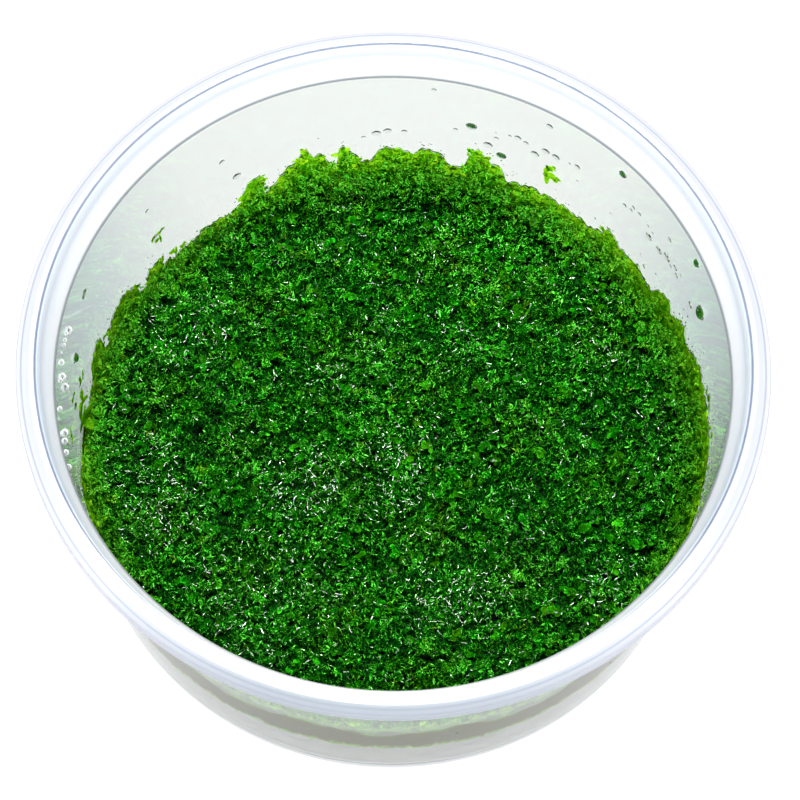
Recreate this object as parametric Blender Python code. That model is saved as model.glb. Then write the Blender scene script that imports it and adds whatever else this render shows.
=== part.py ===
"""A round clear tissue-culture cup with a bed of nutrient gel and a mat of riccardia moss growing on it.

Three separate pieces: the moulded cup, the gel and the moss mat. The origin is the centre of the cup's
foot on the table, +Z is up and the side nearest the viewer is -Y.
"""

import math

import bmesh
import bpy

MM = 0.001

# Cup: the wall leans outwards from the foot to the ledge under the rim
CUP_HEIGHT = 46.0 * MM
RIM_RADIUS = 50.3 * MM
LEDGE_HEIGHT = 40.4 * MM
LEDGE_RADIUS = 45.4 * MM
BASE_RADIUS = 43.5 * MM
WALL = 0.8 * MM
FLOOR = 0.9 * MM
CORNER_RADIUS = 2.5 * MM
FOOT_INNER_RADIUS = 36.0 * MM
FOOT_RECESS = 0.6 * MM
FOOT_SLOPE = 0.8 * MM

# Rim: a collar that flares up from the ledge to a flat crest, and a skirt that hangs outside it
LEDGE_WIDTH = 0.5 * MM
LEDGE_RISE = 0.2 * MM
CREST_INNER_RADIUS = 47.7 * MM
CREST_OUTER_RADIUS = 48.5 * MM
CREST_ROUND = 0.35 * MM
CREST_LEAN_DEG = 17.0
SHOULDER_RADIUS = 49.4 * MM
SHOULDER_DROP = 0.9 * MM
SKIRT_TOP_DROP = 1.3 * MM
SKIRT_HEIGHT = 1.9 * MM
SKIRT_EDGE_BEVEL = 0.15 * MM
RIM_THICKNESS = 0.85 * MM
CHANNEL_BEVEL = 0.3 * MM

# Gel bed and moss mat
GAP = 0.3 * MM
GEL_TOP = 11.5 * MM
MAT_TOP = 16.4 * MM
MAT_EDGE_DROP = 1.2 * MM
MAT_EDGE_RADIUS = 42.6 * MM
MAT_RINGS = 18
CLIMB_START_RADIUS = 37.0 * MM
LUMP_HEIGHT = 0.9 * MM
LUMP_SPACING = 10.5 * MM

# Waves that add up to the mat's hummocks: share of the height, direction in degrees, spacing as a share of
# LUMP_SPACING, and phase in degrees
LUMP_WAVES = (
    (0.34, 12.0, 1.00, 75.0),
    (0.30, 71.0, 1.15, 200.0),
    (0.26, 133.0, 0.90, 310.0),
    (0.30, 101.0, 1.60, 20.0),
)

# Where fronds climb the wall: azimuth in degrees from +X, half width in degrees, and height above the mat
WALL_CLIMBS = (
    (0.0, 17.0, 8.6 * MM),
    (25.0, 12.0, 5.2 * MM),
    (45.0, 9.0, 6.4 * MM),
    (60.0, 13.0, 4.6 * MM),
    (75.0, 8.0, 9.0 * MM),
    (90.0, 11.0, 6.2 * MM),
    (110.0, 12.0, 8.4 * MM),
    (120.0, 7.0, 5.6 * MM),
    (150.0, 10.0, 4.0 * MM),
    (168.0, 9.0, 5.6 * MM),
    (195.0, 16.0, 9.4 * MM),
    (222.0, 20.0, 5.0 * MM),
    (258.0, 22.0, 7.2 * MM),
    (296.0, 20.0, 5.8 * MM),
    (334.0, 18.0, 6.2 * MM),
)

# Facets round the cup's axis, and along an arc of a profile
SEGMENTS = 72
CORNER_STEPS = 5
CREST_STEPS = 3
SHARP_ANGLE = math.radians(32)
MERGE_DISTANCE = 1e-6


def clear_scene():
    """Removes every object of the open file."""
    for item in list(bpy.data.objects):
        bpy.data.objects.remove(item, do_unlink=True)


def arc(centre_r, centre_z, radius, start_deg, end_deg, steps):
    """Points (r, z) along a circular arc, both ends included."""
    points = []
    for i in range(steps + 1):
        angle = math.radians(start_deg + (end_deg - start_deg) * i / steps)
        points.append((centre_r + radius * math.cos(angle), centre_z + radius * math.sin(angle)))
    return points


def wall_slope():
    """How far the wall moves outwards for each unit that it rises."""
    outer_top = LEDGE_RADIUS + WALL
    return (outer_top - BASE_RADIUS) / (LEDGE_HEIGHT - CORNER_RADIUS)


def inner_radius(height):
    """The inner radius of the cup's wall at this height above the table."""
    return BASE_RADIUS - WALL + wall_slope() * (height - CORNER_RADIUS)


def inner_corner(inset, steps):
    """The rounded inside corner between floor and wall, from the floor up, moved inwards by an inset."""
    lean = math.degrees(math.atan(wall_slope()))
    centre_r = BASE_RADIUS - CORNER_RADIUS
    centre_z = FOOT_RECESS + FLOOR + CORNER_RADIUS - WALL
    return arc(centre_r, centre_z, CORNER_RADIUS - WALL - inset, -90.0, -lean, steps)


def cup_inside():
    """The cup's inside, from the middle of the floor up to the ledge and over the crest of the rim."""
    floor_z = FOOT_RECESS + FLOOR
    points = [(0.0, floor_z)]
    points += inner_corner(0.0, CORNER_STEPS)
    points += [(LEDGE_RADIUS, LEDGE_HEIGHT), (LEDGE_RADIUS + LEDGE_WIDTH, LEDGE_HEIGHT + LEDGE_RISE)]
    start_deg = 180.0 - CREST_LEAN_DEG
    points += arc(CREST_INNER_RADIUS, CUP_HEIGHT - CREST_ROUND, CREST_ROUND, start_deg, 90.0, CREST_STEPS)
    return points


def cup_skirt():
    """The outside of the rim: crest, shoulder, skirt, and the channel between skirt and collar."""
    skirt_top = CUP_HEIGHT - SKIRT_TOP_DROP
    skirt_foot = skirt_top - SKIRT_HEIGHT
    skirt_inner = RIM_RADIUS - RIM_THICKNESS
    channel_roof = CUP_HEIGHT - RIM_THICKNESS
    collar_outer = CREST_INNER_RADIUS + 0.5 * RIM_THICKNESS
    return [
        (CREST_OUTER_RADIUS, CUP_HEIGHT),
        (SHOULDER_RADIUS, CUP_HEIGHT - SHOULDER_DROP),
        (RIM_RADIUS, skirt_top),
        (RIM_RADIUS, skirt_foot + SKIRT_EDGE_BEVEL),
        (RIM_RADIUS - SKIRT_EDGE_BEVEL, skirt_foot),
        (skirt_inner + SKIRT_EDGE_BEVEL, skirt_foot),
        (skirt_inner, skirt_foot + SKIRT_EDGE_BEVEL),
        (skirt_inner, skirt_top - CHANNEL_BEVEL),
        (CREST_OUTER_RADIUS, channel_roof - SKIRT_EDGE_BEVEL),
        (collar_outer, channel_roof - CHANNEL_BEVEL),
    ]


def cup_outside():
    """The outside of the wall, its rounded foot and the recess under the floor, ending on the axis."""
    lean = math.degrees(math.atan(wall_slope()))
    points = [
        (LEDGE_RADIUS + LEDGE_WIDTH + WALL, LEDGE_HEIGHT + LEDGE_RISE),
        (LEDGE_RADIUS + WALL, LEDGE_HEIGHT - WALL),
    ]
    centre_r = BASE_RADIUS - CORNER_RADIUS
    points += arc(centre_r, CORNER_RADIUS, CORNER_RADIUS, -lean, -90.0, CORNER_STEPS)
    points += [(FOOT_INNER_RADIUS, 0.0), (FOOT_INNER_RADIUS - FOOT_SLOPE, FOOT_RECESS), (0.0, FOOT_RECESS)]
    return points


def turned(name, profile, segments):
    """An object made by spinning a closed outline of (r, z) points, which starts and ends on the axis."""
    shape = bmesh.new()
    rim = [shape.verts.new((r, 0.0, z)) for r, z in profile]
    edges = [shape.edges.new(pair) for pair in zip(rim, rim[1:])]
    bmesh.ops.spin(
        shape,
        geom=rim + edges,
        cent=(0.0, 0.0, 0.0),
        axis=(0.0, 0.0, 1.0),
        angle=math.tau,
        steps=segments,
        use_merge=True,
    )
    bmesh.ops.remove_doubles(shape, verts=shape.verts, dist=MERGE_DISTANCE)
    bmesh.ops.dissolve_degenerate(shape, dist=MERGE_DISTANCE, edges=shape.edges)
    bmesh.ops.recalc_face_normals(shape, faces=shape.faces)
    mesh = bpy.data.meshes.new(name)
    shape.to_mesh(mesh)
    shape.free()
    piece = bpy.data.objects.new(name, mesh)
    bpy.context.scene.collection.objects.link(piece)
    return piece


def finish(piece, material):
    """Gives a piece its material and smooth shading between its sharp edges."""
    piece.data.materials.append(material)
    piece.data.shade_smooth()
    piece.data.set_sharp_from_angle(angle=SHARP_ANGLE)
    return piece


def make_material(name, colour, roughness, metallic=0.0, transmission=0.0, ior=1.45):
    """A material with one colour, which is see-through where transmission is over zero."""
    material = bpy.data.materials.new(name)
    material.use_nodes = True
    shader = material.node_tree.nodes["Principled BSDF"]
    shader.inputs["Base Color"].default_value = (*colour, 1.0)
    shader.inputs["Roughness"].default_value = roughness
    shader.inputs["Metallic"].default_value = metallic
    shader.inputs["Transmission Weight"].default_value = transmission
    shader.inputs["IOR"].default_value = ior
    material.diffuse_color = (*colour, 1.0 - 0.6 * transmission)
    return material


def make_cup():
    """The clear moulded cup with its flared rim, in one piece."""
    cup = turned("cup", cup_inside() + cup_skirt() + cup_outside(), SEGMENTS)
    return finish(cup, make_material("clear_plastic", (0.93, 0.95, 0.95), 0.08, transmission=1.0, ior=1.49))


def make_gel():
    """The bed of clear nutrient gel that fills the bottom of the cup."""
    floor_z = FOOT_RECESS + FLOOR + GAP
    profile = [(0.0, floor_z)]
    profile += inner_corner(GAP, CORNER_STEPS)
    profile += [(inner_radius(GEL_TOP) - GAP, GEL_TOP), (0.0, GEL_TOP)]
    gel = turned("nutrient_gel", profile, SEGMENTS)
    return finish(gel, make_material("clear_gel", (0.85, 0.88, 0.76), 0.15, transmission=0.9, ior=1.34))


def lumps(x, y):
    """A smooth uneven height between about -1 and 1, as of a mat with soft hummocks."""
    height = 0.0
    for share, direction_deg, spacing, phase_deg in LUMP_WAVES:
        direction = math.radians(direction_deg)
        along = x * math.cos(direction) + y * math.sin(direction)
        height += share * math.sin(math.tau * along / (spacing * LUMP_SPACING) + math.radians(phase_deg))
    return height


def climb(azimuth_deg):
    """How high the fronds climb the wall at this azimuth, as the highest of the smooth humps."""
    height = 0.0
    for centre, half_width, rise in WALL_CLIMBS:
        away = (azimuth_deg - centre + 180.0) % 360.0 - 180.0
        share = min(abs(away) / half_width, 1.0)
        height = max(height, rise * (1.0 - share**4))
    return height


def mat_height(x, y):
    """The height of the moss mat's top above the table at a point of the plan."""
    radius = math.hypot(x, y)
    edge = min(max((radius - CLIMB_START_RADIUS) / (inner_radius(MAT_TOP) - CLIMB_START_RADIUS), 0.0), 1.0)
    azimuth_deg = math.degrees(math.atan2(y, x))
    hummocks = LUMP_HEIGHT * lumps(x, y)
    return MAT_TOP + hummocks - MAT_EDGE_DROP * edge + climb(azimuth_deg) * edge**3


def mat_profile():
    """The moss mat's outline before its top is shaped: bottom, side along the wall, and rings of the top."""
    bottom = GEL_TOP + GAP
    side_foot = (inner_radius(bottom) - GAP, bottom)
    side_top = (inner_radius(MAT_TOP) - GAP, MAT_TOP)
    top = [(MAT_EDGE_RADIUS * (1.0 - (i / MAT_RINGS) ** 1.2), MAT_TOP) for i in range(MAT_RINGS)]
    return [(0.0, bottom), side_foot, side_top] + top + [(0.0, MAT_TOP)]


def make_moss_mat():
    """The moss as one lumpy mat that reaches the tips of its fronds and climbs the wall in lobes."""
    mat = turned("moss_mat", mat_profile(), SEGMENTS)
    for vertex in mat.data.vertices:
        x, y, z = vertex.co
        if z < MAT_TOP - MERGE_DISTANCE:
            continue
        height = mat_height(x, y)
        radius = math.hypot(x, y)
        if radius > inner_radius(MAT_TOP) - 2.0 * GAP:
            scale = (inner_radius(height) - GAP) / radius
            x = x * scale
            y = y * scale
        vertex.co = (x, y, height)
    return finish(mat, make_material("moss", (0.04, 0.22, 0.02), 0.6))


def main():
    clear_scene()
    make_cup()
    make_gel()
    make_moss_mat()


main()
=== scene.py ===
"""Riccardia moss in a clear culture cup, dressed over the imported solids.

The mat is made of many small branching fronds. It grows on a bed of clear gel in a moulded cup with a
flared rim, and drops of water hang on the wall above it. Lengths are in metres, +Z is up, the origin is
the centre of the cup's foot and -Y is the side nearest the camera.
"""

from __future__ import annotations

import logging
import math
from collections.abc import Sequence
from dataclasses import dataclass, replace
from enum import Enum
from typing import Any

import bpy
import numpy as np
from mathutils import Matrix, Vector
from numpy.typing import NDArray

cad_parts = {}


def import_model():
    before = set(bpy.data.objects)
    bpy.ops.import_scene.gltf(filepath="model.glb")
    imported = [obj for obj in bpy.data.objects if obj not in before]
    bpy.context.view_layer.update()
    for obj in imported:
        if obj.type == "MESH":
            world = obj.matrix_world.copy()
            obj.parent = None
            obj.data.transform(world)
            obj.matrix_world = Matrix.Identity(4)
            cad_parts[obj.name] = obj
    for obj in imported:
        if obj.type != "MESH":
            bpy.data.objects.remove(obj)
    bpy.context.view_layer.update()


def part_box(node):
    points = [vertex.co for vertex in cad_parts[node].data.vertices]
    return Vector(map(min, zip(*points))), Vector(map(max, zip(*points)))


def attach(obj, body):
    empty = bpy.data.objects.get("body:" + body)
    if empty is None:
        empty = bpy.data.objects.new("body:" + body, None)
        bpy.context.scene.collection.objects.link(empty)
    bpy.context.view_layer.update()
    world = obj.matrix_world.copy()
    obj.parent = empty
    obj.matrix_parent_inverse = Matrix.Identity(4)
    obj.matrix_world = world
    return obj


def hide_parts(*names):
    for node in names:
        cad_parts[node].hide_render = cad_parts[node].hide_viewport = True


Array = NDArray[np.float64]
Indices = NDArray[np.int64]
Chance = np.random.Generator
Material = bpy.types.Material
Piece = bpy.types.Object
Pair = tuple[float, float]
Triple = tuple[float, float, float]
Stops = Sequence[tuple[float, Triple]]
Table = tuple[tuple[float, ...], ...]

MM = 0.001
BODY = "root"
GOLDEN_ANGLE = math.pi * (3.0 - math.sqrt(5.0))
LOG = logging.getLogger("riccardia")


class Slot(Enum):
    """The record's material slots."""

    PLASTIC = "clear_plastic"
    GEL = "clear_gel"
    MOSS = "moss"


class Node(Enum):
    """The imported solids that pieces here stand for."""

    CUP = "cup"
    GEL = "nutrient_gel"
    MOSS = "moss_mat"


# Shader nodes


class Value:
    """One output of a shader node, on which plain sums add the nodes that work them out."""

    def __init__(self, bench: Bench, socket: bpy.types.NodeSocket) -> None:
        """Keeps the socket and the bench that it belongs to."""
        self.bench = bench
        self.socket = socket

    def _sum(self, operation: str, first: Any, second: Any) -> Value:
        """The result of a sum of these two, worked out by a node of its own."""
        return self.bench.node("ShaderNodeMath", {"operation": operation}, {0: first, 1: second})

    def __add__(self, other: Any) -> Value:
        """This value plus another."""
        return self._sum("ADD", self, other)

    def __sub__(self, other: Any) -> Value:
        """This value less another."""
        return self._sum("SUBTRACT", self, other)

    def __rsub__(self, other: Any) -> Value:
        """Another value less this one."""
        return self._sum("SUBTRACT", other, self)

    def __mul__(self, other: Any) -> Value:
        """This value times another."""
        return self._sum("MULTIPLY", self, other)

    __radd__, __rmul__ = __add__, __mul__

    def clamped(self) -> Value:
        """This value kept between 0 and 1."""
        return self._sum("MINIMUM", self._sum("MAXIMUM", self, 0.0), 1.0)


class Bench:
    """The node tree of one material."""

    def __init__(self, name: str) -> None:
        """Makes an empty material with this name.

        Args:
            name: The material's name.
        """
        self.material = bpy.data.materials.new(name)
        self.material.use_nodes = True
        self.tree = self.material.node_tree
        self.tree.nodes.clear()

    def node(
        self, kind: str, settings: dict[str, Any] | None = None, inputs: dict[int | str, Any] | None = None,
        output: int | str = 0
    ) -> Value:
        """Adds a node of any kind.

        Args:
            kind: The name of the node's type.
            settings: The node's own settings; a ramp's colours come under "stops".
            inputs: A number, colour or Value for each input that is set.
            output: The output that is returned.

        Returns:
            The chosen output.
        """
        made = self.tree.nodes.new(kind)
        for key, value in (settings or {}).items():
            if key == "stops":
                self._set_stops(made.color_ramp, value)
            else:
                setattr(made, key, value)
        for key, value in (inputs or {}).items():
            if isinstance(value, Value):
                self.tree.links.new(value.socket, made.inputs[key])
            else:
                made.inputs[key].default_value = (*value, 1.0) if isinstance(value, tuple) else value
        return Value(self, made.outputs[output])

    @staticmethod
    def _set_stops(ramp: bpy.types.ColorRamp, stops: Stops) -> None:
        """Gives a colour ramp its stops, each a place and a colour.

        Args:
            ramp: The ramp.
            stops: Its stops, in order.
        """
        while len(ramp.elements) < len(stops):
            ramp.elements.new(1.0)
        for element, (place, colour) in zip(ramp.elements, stops):
            element.position = place
            element.color = (*colour, 1.0)

    def place(self) -> Value:
        """The point on the piece, in metres."""
        return self.node("ShaderNodeTexCoord", output="Object")

    def noise(self, scale: float, detail: float = 3.0, roughness: float = 0.5) -> Value:
        """Soft noise between 0 and 1, with this many waves to a metre and this many finer layers."""
        inputs = {"Vector": self.place(), "Scale": scale, "Detail": detail, "Roughness": roughness}
        return self.node("ShaderNodeTexNoise", inputs=inputs)

    def ramp(self, factor: Value, stops: Stops) -> Value:
        """The colour that a ramp gives for this factor."""
        return self.node("ShaderNodeValToRGB", {"stops": stops}, {0: factor})

    def scale_ramp(self, value: Value, stops: Stops) -> Value:
        """The colour for a value in millimetres, from stops that are in millimetres too.

        Args:
            value: The value, in metres.
            stops: The stops, in millimetres.

        Returns:
            The colour.
        """
        first, last = stops[0][0], stops[-1][0]
        shares = [((at - first) / (last - first), colour) for at, colour in stops]
        return self.ramp((value * (1.0 / MM) - first) * (1.0 / (last - first)), shares)

    def mixed(self, factor: Any, first: Any, second: Any) -> Value:
        """The first colour at factor 0 and the second at 1."""
        return self.node("ShaderNodeMix", {"data_type": "RGBA"}, {0: factor, 6: first, 7: second}, 2)

    def blend(self, factor: Any, first: Value, second: Value) -> Value:
        """The first shader at factor 0 and the second at 1."""
        return self.node("ShaderNodeMixShader", inputs={0: factor, 1: first, 2: second})

    def bump(self, height: Value, strength: float, distance: float) -> Value:
        """A normal that makes the surface look uneven by this height."""
        inputs = {"Strength": strength, "Distance": distance, "Height": height}
        return self.node("ShaderNodeBump", inputs=inputs)

    def facing(self) -> Value:
        """0 where the surface is square to the eye, rising to 1 where it is seen edge on."""
        return self.node("ShaderNodeLayerWeight", inputs={"Blend": 0.5}, output="Facing")

    def principled(self, colour: Any, roughness: Any, more: dict[str, Any]) -> Value:
        """The general shader, with this colour, roughness and any other inputs."""
        inputs = {"Base Color": colour, "Roughness": roughness, **more}
        return self.node("ShaderNodeBsdfPrincipled", inputs=inputs)

    def clear(self, colour: Any, roughness: float, ior: float, more: dict[str, Any] | None = None) -> Value:
        """The general shader set to let all light through."""
        return self.principled(colour, roughness, {"IOR": ior, "Transmission Weight": 1.0, **(more or {})})

    def translucent(self, colour: Any) -> Value:
        """A shader for light that comes through from behind."""
        return self.node("ShaderNodeBsdfTranslucent", inputs={"Color": colour})

    def absorbing(self, colour: Triple, density: float) -> Value:
        """The volume of a clear solid that takes this colour with depth."""
        return self.node("ShaderNodeVolumeAbsorption", inputs={"Color": colour, "Density": density})

    def done(self, surface: Value, volume: Value | None = None) -> Material:
        """Links the surface's shader and any volume's to the output, and returns the finished material.

        Args:
            surface: The surface's shader.
            volume: The volume's shader, where it has one.

        Returns:
            The material.
        """
        inputs = {"Surface": surface} if volume is None else {"Surface": surface, "Volume": volume}
        made = self.tree.nodes.new("ShaderNodeOutputMaterial")
        for key, value in inputs.items():
            self.tree.links.new(value.socket, made.inputs[key])
        return self.material


# Finishes


@dataclass(frozen=True)
class ClearPlastic:
    """Moulded polypropylene, clear in the wall and milky in the collar, with painted shade, reflection,
    highlight and glow.
    """

    tint: Triple = (0.905, 0.93, 0.90)
    painted_slant_shade: Triple = (0.545, 0.66, 0.68)
    painted_foot_shade: Triple = (0.68, 0.70, 0.67)
    painted_skirt_shade_and_reflection: Triple = (0.37, 0.41, 0.46)
    painted_near_collar_light: Triple = (0.985, 0.985, 0.99)
    painted_collar_glow: float = 0.36
    absorbed: Triple = (0.72, 0.82, 0.92)
    density: float = 55.0
    roughness: float = 0.03
    ior: float = 1.49
    wall_milk: float = 0.007
    rim_milk: float = 0.74
    rim_from: float = 40.15 * MM
    rim_fade: float = 0.5 * MM
    skirt_from: float = 49.0 * MM
    skirt_fade: float = 0.08 * MM
    foot_fade: float = 1.4 * MM
    milk_roughness: float = 0.2
    ripples_per_metre: float = 160.0
    clouds_per_metre: float = 90.0
    milk_and_painted_rings_mm: Stops = (
        (45.20, (0.52, 0.57, 0.60)), (45.62, (0.50, 0.54, 0.58)), (45.78, (0.95, 0.95, 0.98)),
        (46.40, (0.95, 0.95, 0.98)), (46.80, (0.93, 0.94, 0.97)), (47.44, (0.80, 0.87, 0.96)),
        (47.56, (0.18, 0.22, 0.32)), (47.76, (0.14, 0.18, 0.30)), (47.88, (0.74, 0.77, 0.81)),
        (48.40, (0.80, 0.82, 0.84)), (48.50, (0.70, 0.73, 0.77)), (48.60, (0.74, 0.75, 0.82)),
        (49.38, (0.78, 0.79, 0.86)), (49.48, (0.50, 0.53, 0.63)), (49.62, (0.53, 0.56, 0.66)),
        (49.74, (0.80, 0.80, 0.83)), (50.10, (0.77, 0.77, 0.80)), (50.22, (0.66, 0.66, 0.72)),
    )
    painted_skirt_lines_mm: tuple[Pair, ...] = (
        (42.80, 0.8), (42.98, 0.5), (43.20, 0.6), (43.40, 0.0), (43.90, 0.0), (44.10, 0.5), (44.40, 0.6),
        (44.52, 0.1), (44.72, 0.0), (44.86, 0.5), (45.00, 0.1), (45.30, 0.0), (45.45, 0.8),
    )

    def make(self) -> Material:
        """The plastic, whose milky share is large only above the ledge.

        Returns:
            The material.
        """
        bench = Bench("clear_plastic")
        place = bench.place()
        x, y, height = (
            bench.node("ShaderNodeSeparateXYZ", inputs={0: place}, output=axis) for axis in "XYZ"
        )
        radius = bench.node("ShaderNodeMath", {"operation": "SQRT"}, {0: x * x + y * y})
        normal = bench.bump(bench.noise(self.ripples_per_metre, 2.0), 0.06, 0.2 * MM)
        # Painted shade: the clear wall is tinted darker where it is seen on the slant, less so on the near
        # side, and darker again at the foot
        far = 1.0 - (y * (-40.0) - 0.5).clamped() * 0.8
        tint = bench.mixed(((bench.facing() - 0.535) * 6.5).clamped() * far, self.tint, self.painted_slant_shade)
        foot = (1.6 - height * (1.0 / self.foot_fade)).clamped()
        tint = bench.mixed(foot, tint, self.painted_foot_shade)
        clear = bench.clear(tint, self.roughness, self.ior, {"Normal": normal})
        # The milky collar has painted rings of reflection by radius and painted light on its near inner face;
        # the near skirt has painted bluish shade and reflection, with painted lines by height
        rings = bench.scale_ramp(radius, self.milk_and_painted_rings_mm)
        line = bench.scale_ramp(height, [(z, (light, light, light)) for z, light in self.painted_skirt_lines_mm])
        near = (y * (-64.0) - 2.1).clamped() * (0.92 - (x * 14.0).clamped() * 0.28)
        outside = ((radius - self.skirt_from) * (1.0 / self.skirt_fade)).clamped()
        inner_rings = bench.mixed((y * (-40.0) - 0.9).clamped(), rings, self.painted_near_collar_light)
        skirt = bench.mixed(near * (1.0 - line * 0.22), rings, self.painted_skirt_shade_and_reflection)
        milk = bench.mixed(outside, inner_rings, skirt)
        # The collar glows a little: painted light, as the plastic is no lamp
        glow = {"IOR": self.ior, "Emission Color": milk, "Emission Strength": self.painted_collar_glow}
        milky = bench.blend(0.5, bench.principled(milk, self.milk_roughness, glow), bench.translucent(milk))
        rim = ((height - self.rim_from) * (1.0 / self.rim_fade)).clamped()
        cloud = bench.noise(self.clouds_per_metre)
        share = rim * (self.rim_milk - self.wall_milk) + self.wall_milk + (cloud - 0.5) * 0.01
        bench.material.cycles.emission_sampling = "NONE"
        surface = bench.blend(share.clamped(), clear, milky)
        return bench.done(surface, bench.absorbing(self.absorbed, self.density))


@dataclass(frozen=True)
class ClearGel:
    """Nutrient gel: clear, a little yellow-green through its depth, with a soft cloud in it."""

    tint: Triple = (0.97, 0.98, 0.95)
    ior: float = 1.34
    roughness: float = 0.06
    haze: Triple = (0.72, 0.78, 0.60)
    absorbed: Triple = (0.78, 0.86, 0.55)
    density: float = 22.0
    ripples_per_metre: float = 240.0
    clouds_per_metre: float = 120.0
    cloudiness: float = 0.16

    def make(self) -> Material:
        """The gel, with absorption inside.

        Returns:
            The material.
        """
        bench = Bench("clear_gel")
        normal = bench.bump(bench.noise(self.ripples_per_metre, 2.0), 0.3, 0.3 * MM)
        clear = bench.clear(self.tint, self.roughness, self.ior, {"Normal": normal})
        cloud = bench.noise(self.clouds_per_metre, 4.0) * self.cloudiness
        surface = bench.blend(cloud, clear, bench.translucent(self.haze))
        return bench.done(surface, bench.absorbing(self.absorbed, self.density))


@dataclass(frozen=True)
class Water:
    """Clean water in drops. A pearl is a small high drop whose sides gather the light of the table."""

    name: str = "water"
    ior: float = 1.333
    pearl: float = 0.0
    pearl_tint: Triple = (0.93, 0.95, 0.95)

    def make(self) -> Material:
        """The water.

        Returns:
            The material.
        """
        bench = Bench(self.name)
        surface = bench.clear((1.0, 1.0, 1.0), 0.0, self.ior)
        if self.pearl:
            glow = bench.node("ShaderNodeBsdfDiffuse", inputs={"Color": self.pearl_tint})
            # Painted light: where the drop is seen edge on, a pale matt shader stands in for the table's
            # light that its sides gather
            surface = bench.blend(((bench.facing() - 0.05) * 4.0).clamped() * self.pearl, surface, glow)
        return bench.done(surface)


@dataclass(frozen=True)
class MossLeaf:
    """Wet moss: a lobe has a dark middle and a painted highlight along its edge, and is lighter and yellower
    where it is young.

    The growth colour on each point holds its lightness, with painted shade where it lies deep, its
    yellowness, and how near it is to a lobe's edge, which sets the painted edge highlight.
    """

    name: str
    see_through: float = 0.11
    painted_edge_highlight: float = 0.52
    edge_highlight_yellow: float = 0.04
    mottle: float = 2.9
    lift: float = -0.20
    soaked: bool = False
    wet: float = 1.0
    dark: Triple = (0.0001, 0.003, 0.0002)
    middle: Triple = (0.0005, 0.14, 0.0008)
    light: Triple = (0.02, 0.66, 0.012)
    pale: Triple = (0.20, 0.98, 0.10)
    yellow: Triple = (0.38, 0.76, 0.008)
    thick_glow: Triple = (0.03, 0.16, 0.01)
    green_glow: Triple = (0.34, 0.88, 0.06)
    yellow_glow: Triple = (0.86, 0.98, 0.09)
    roughness: float = 0.5
    soaked_roughness: float = 0.03
    wet_roughness: float = 0.07
    ior: float = 1.38
    water_ior: float = 1.36
    cells_per_metre: float = 4800.0
    grain_per_metre: float = 5200.0
    wet_patches_per_metre: float = 170.0

    def make(self) -> Material:
        """The moss, with a film of water over parts of it and a little light through it.

        Returns:
            The material.
        """
        bench = Bench(self.name)
        growth = bench.node("ShaderNodeAttribute", {"attribute_name": "growth"}, output="Color")
        lightness, yellowness, edge = (
            bench.node("ShaderNodeSeparateColor", inputs={0: growth}, output=part) for part in range(3)
        )
        cells = bench.noise(self.cells_per_metre, 1.0)
        # Painted highlight: lobes are lighter and a little yellower towards their edges, up to the pale top
        # of the ramp
        rim = edge * edge
        tone = (lightness + rim * self.painted_edge_highlight + (cells - 0.5) * self.mottle + self.lift).clamped()
        stops = [(0.0, self.dark), (0.42, self.middle), (0.75, self.light), (1.0, self.pale)]
        green = bench.ramp(tone, stops)
        gold = ((yellowness + rim * self.edge_highlight_yellow) * tone * 1.4).clamped()
        colour = bench.mixed(gold, green, self.yellow)
        wet, smooth = 1.0, self.soaked_roughness
        if not self.soaked:
            patches = (bench.noise(self.wet_patches_per_metre, 2.0) * 3.0 - 1.25).clamped()
            wet, smooth = patches * self.wet, self.wet_roughness
        film = {"Coat Weight": wet, "Coat Roughness": smooth, "Coat IOR": self.water_ior}
        normal = bench.bump(bench.noise(self.grain_per_metre, 2.0), 0.25, 0.05 * MM)
        body = {"IOR": self.ior, "Specular IOR Level": 0.0, "Normal": normal}
        leaf = bench.principled(colour, (cells * 0.2 + self.roughness).clamped(), {**body, **film})
        # Light comes through the young lobes and hardly through the thick old ones
        young = bench.mixed(yellowness, self.green_glow, self.yellow_glow)
        clearness = (lightness * 2.2 + (cells - 0.5) * 1.2 - 0.25).clamped()
        through = bench.translucent(bench.mixed(clearness, self.thick_glow, young))
        return bench.done(bench.blend(self.see_through, leaf, through))


@dataclass(frozen=True)
class MossBed:
    """The dense dark heart of the mat: old lobes between and below the fronds, with painted shade that takes
    it nearly to black.
    """

    deep: Triple = (0.0001, 0.002, 0.0001)
    old: Triple = (0.0005, 0.042, 0.0006)
    rims: Triple = (0.006, 0.20, 0.004)
    lobes_per_metre: float = 1500.0
    knots_per_metre: float = 900.0

    def make(self) -> Material:
        """Matted old growth in dark green, with painted shade that takes it nearly to black in patches, and
        fine lighter lines where lobes end.

        Returns:
            The material.
        """
        bench = Bench("moss_bed")
        knots = bench.noise(self.knots_per_metre, 4.0, 0.6)
        # Painted shade: the deep colour, nearly black, stands for the shade between the fronds
        base = bench.ramp(knots, [(0.40, self.deep), (0.66, self.old)])
        inputs = {"Vector": bench.place(), "Scale": self.lobes_per_metre}
        cells = bench.node("ShaderNodeTexVoronoi", {"feature": "DISTANCE_TO_EDGE"}, inputs, "Distance")
        lines = (1.0 - cells * 9.0).clamped() * (knots * 3.0 - 1.1).clamped()
        more = {"Specular IOR Level": 0.05, "Normal": bench.bump(cells + knots, 0.8, 0.4 * MM)}
        colour = bench.mixed(lines, base, self.rims)
        return bench.done(bench.principled(colour, (knots * 0.3 + 0.6).clamped(), more))


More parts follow.
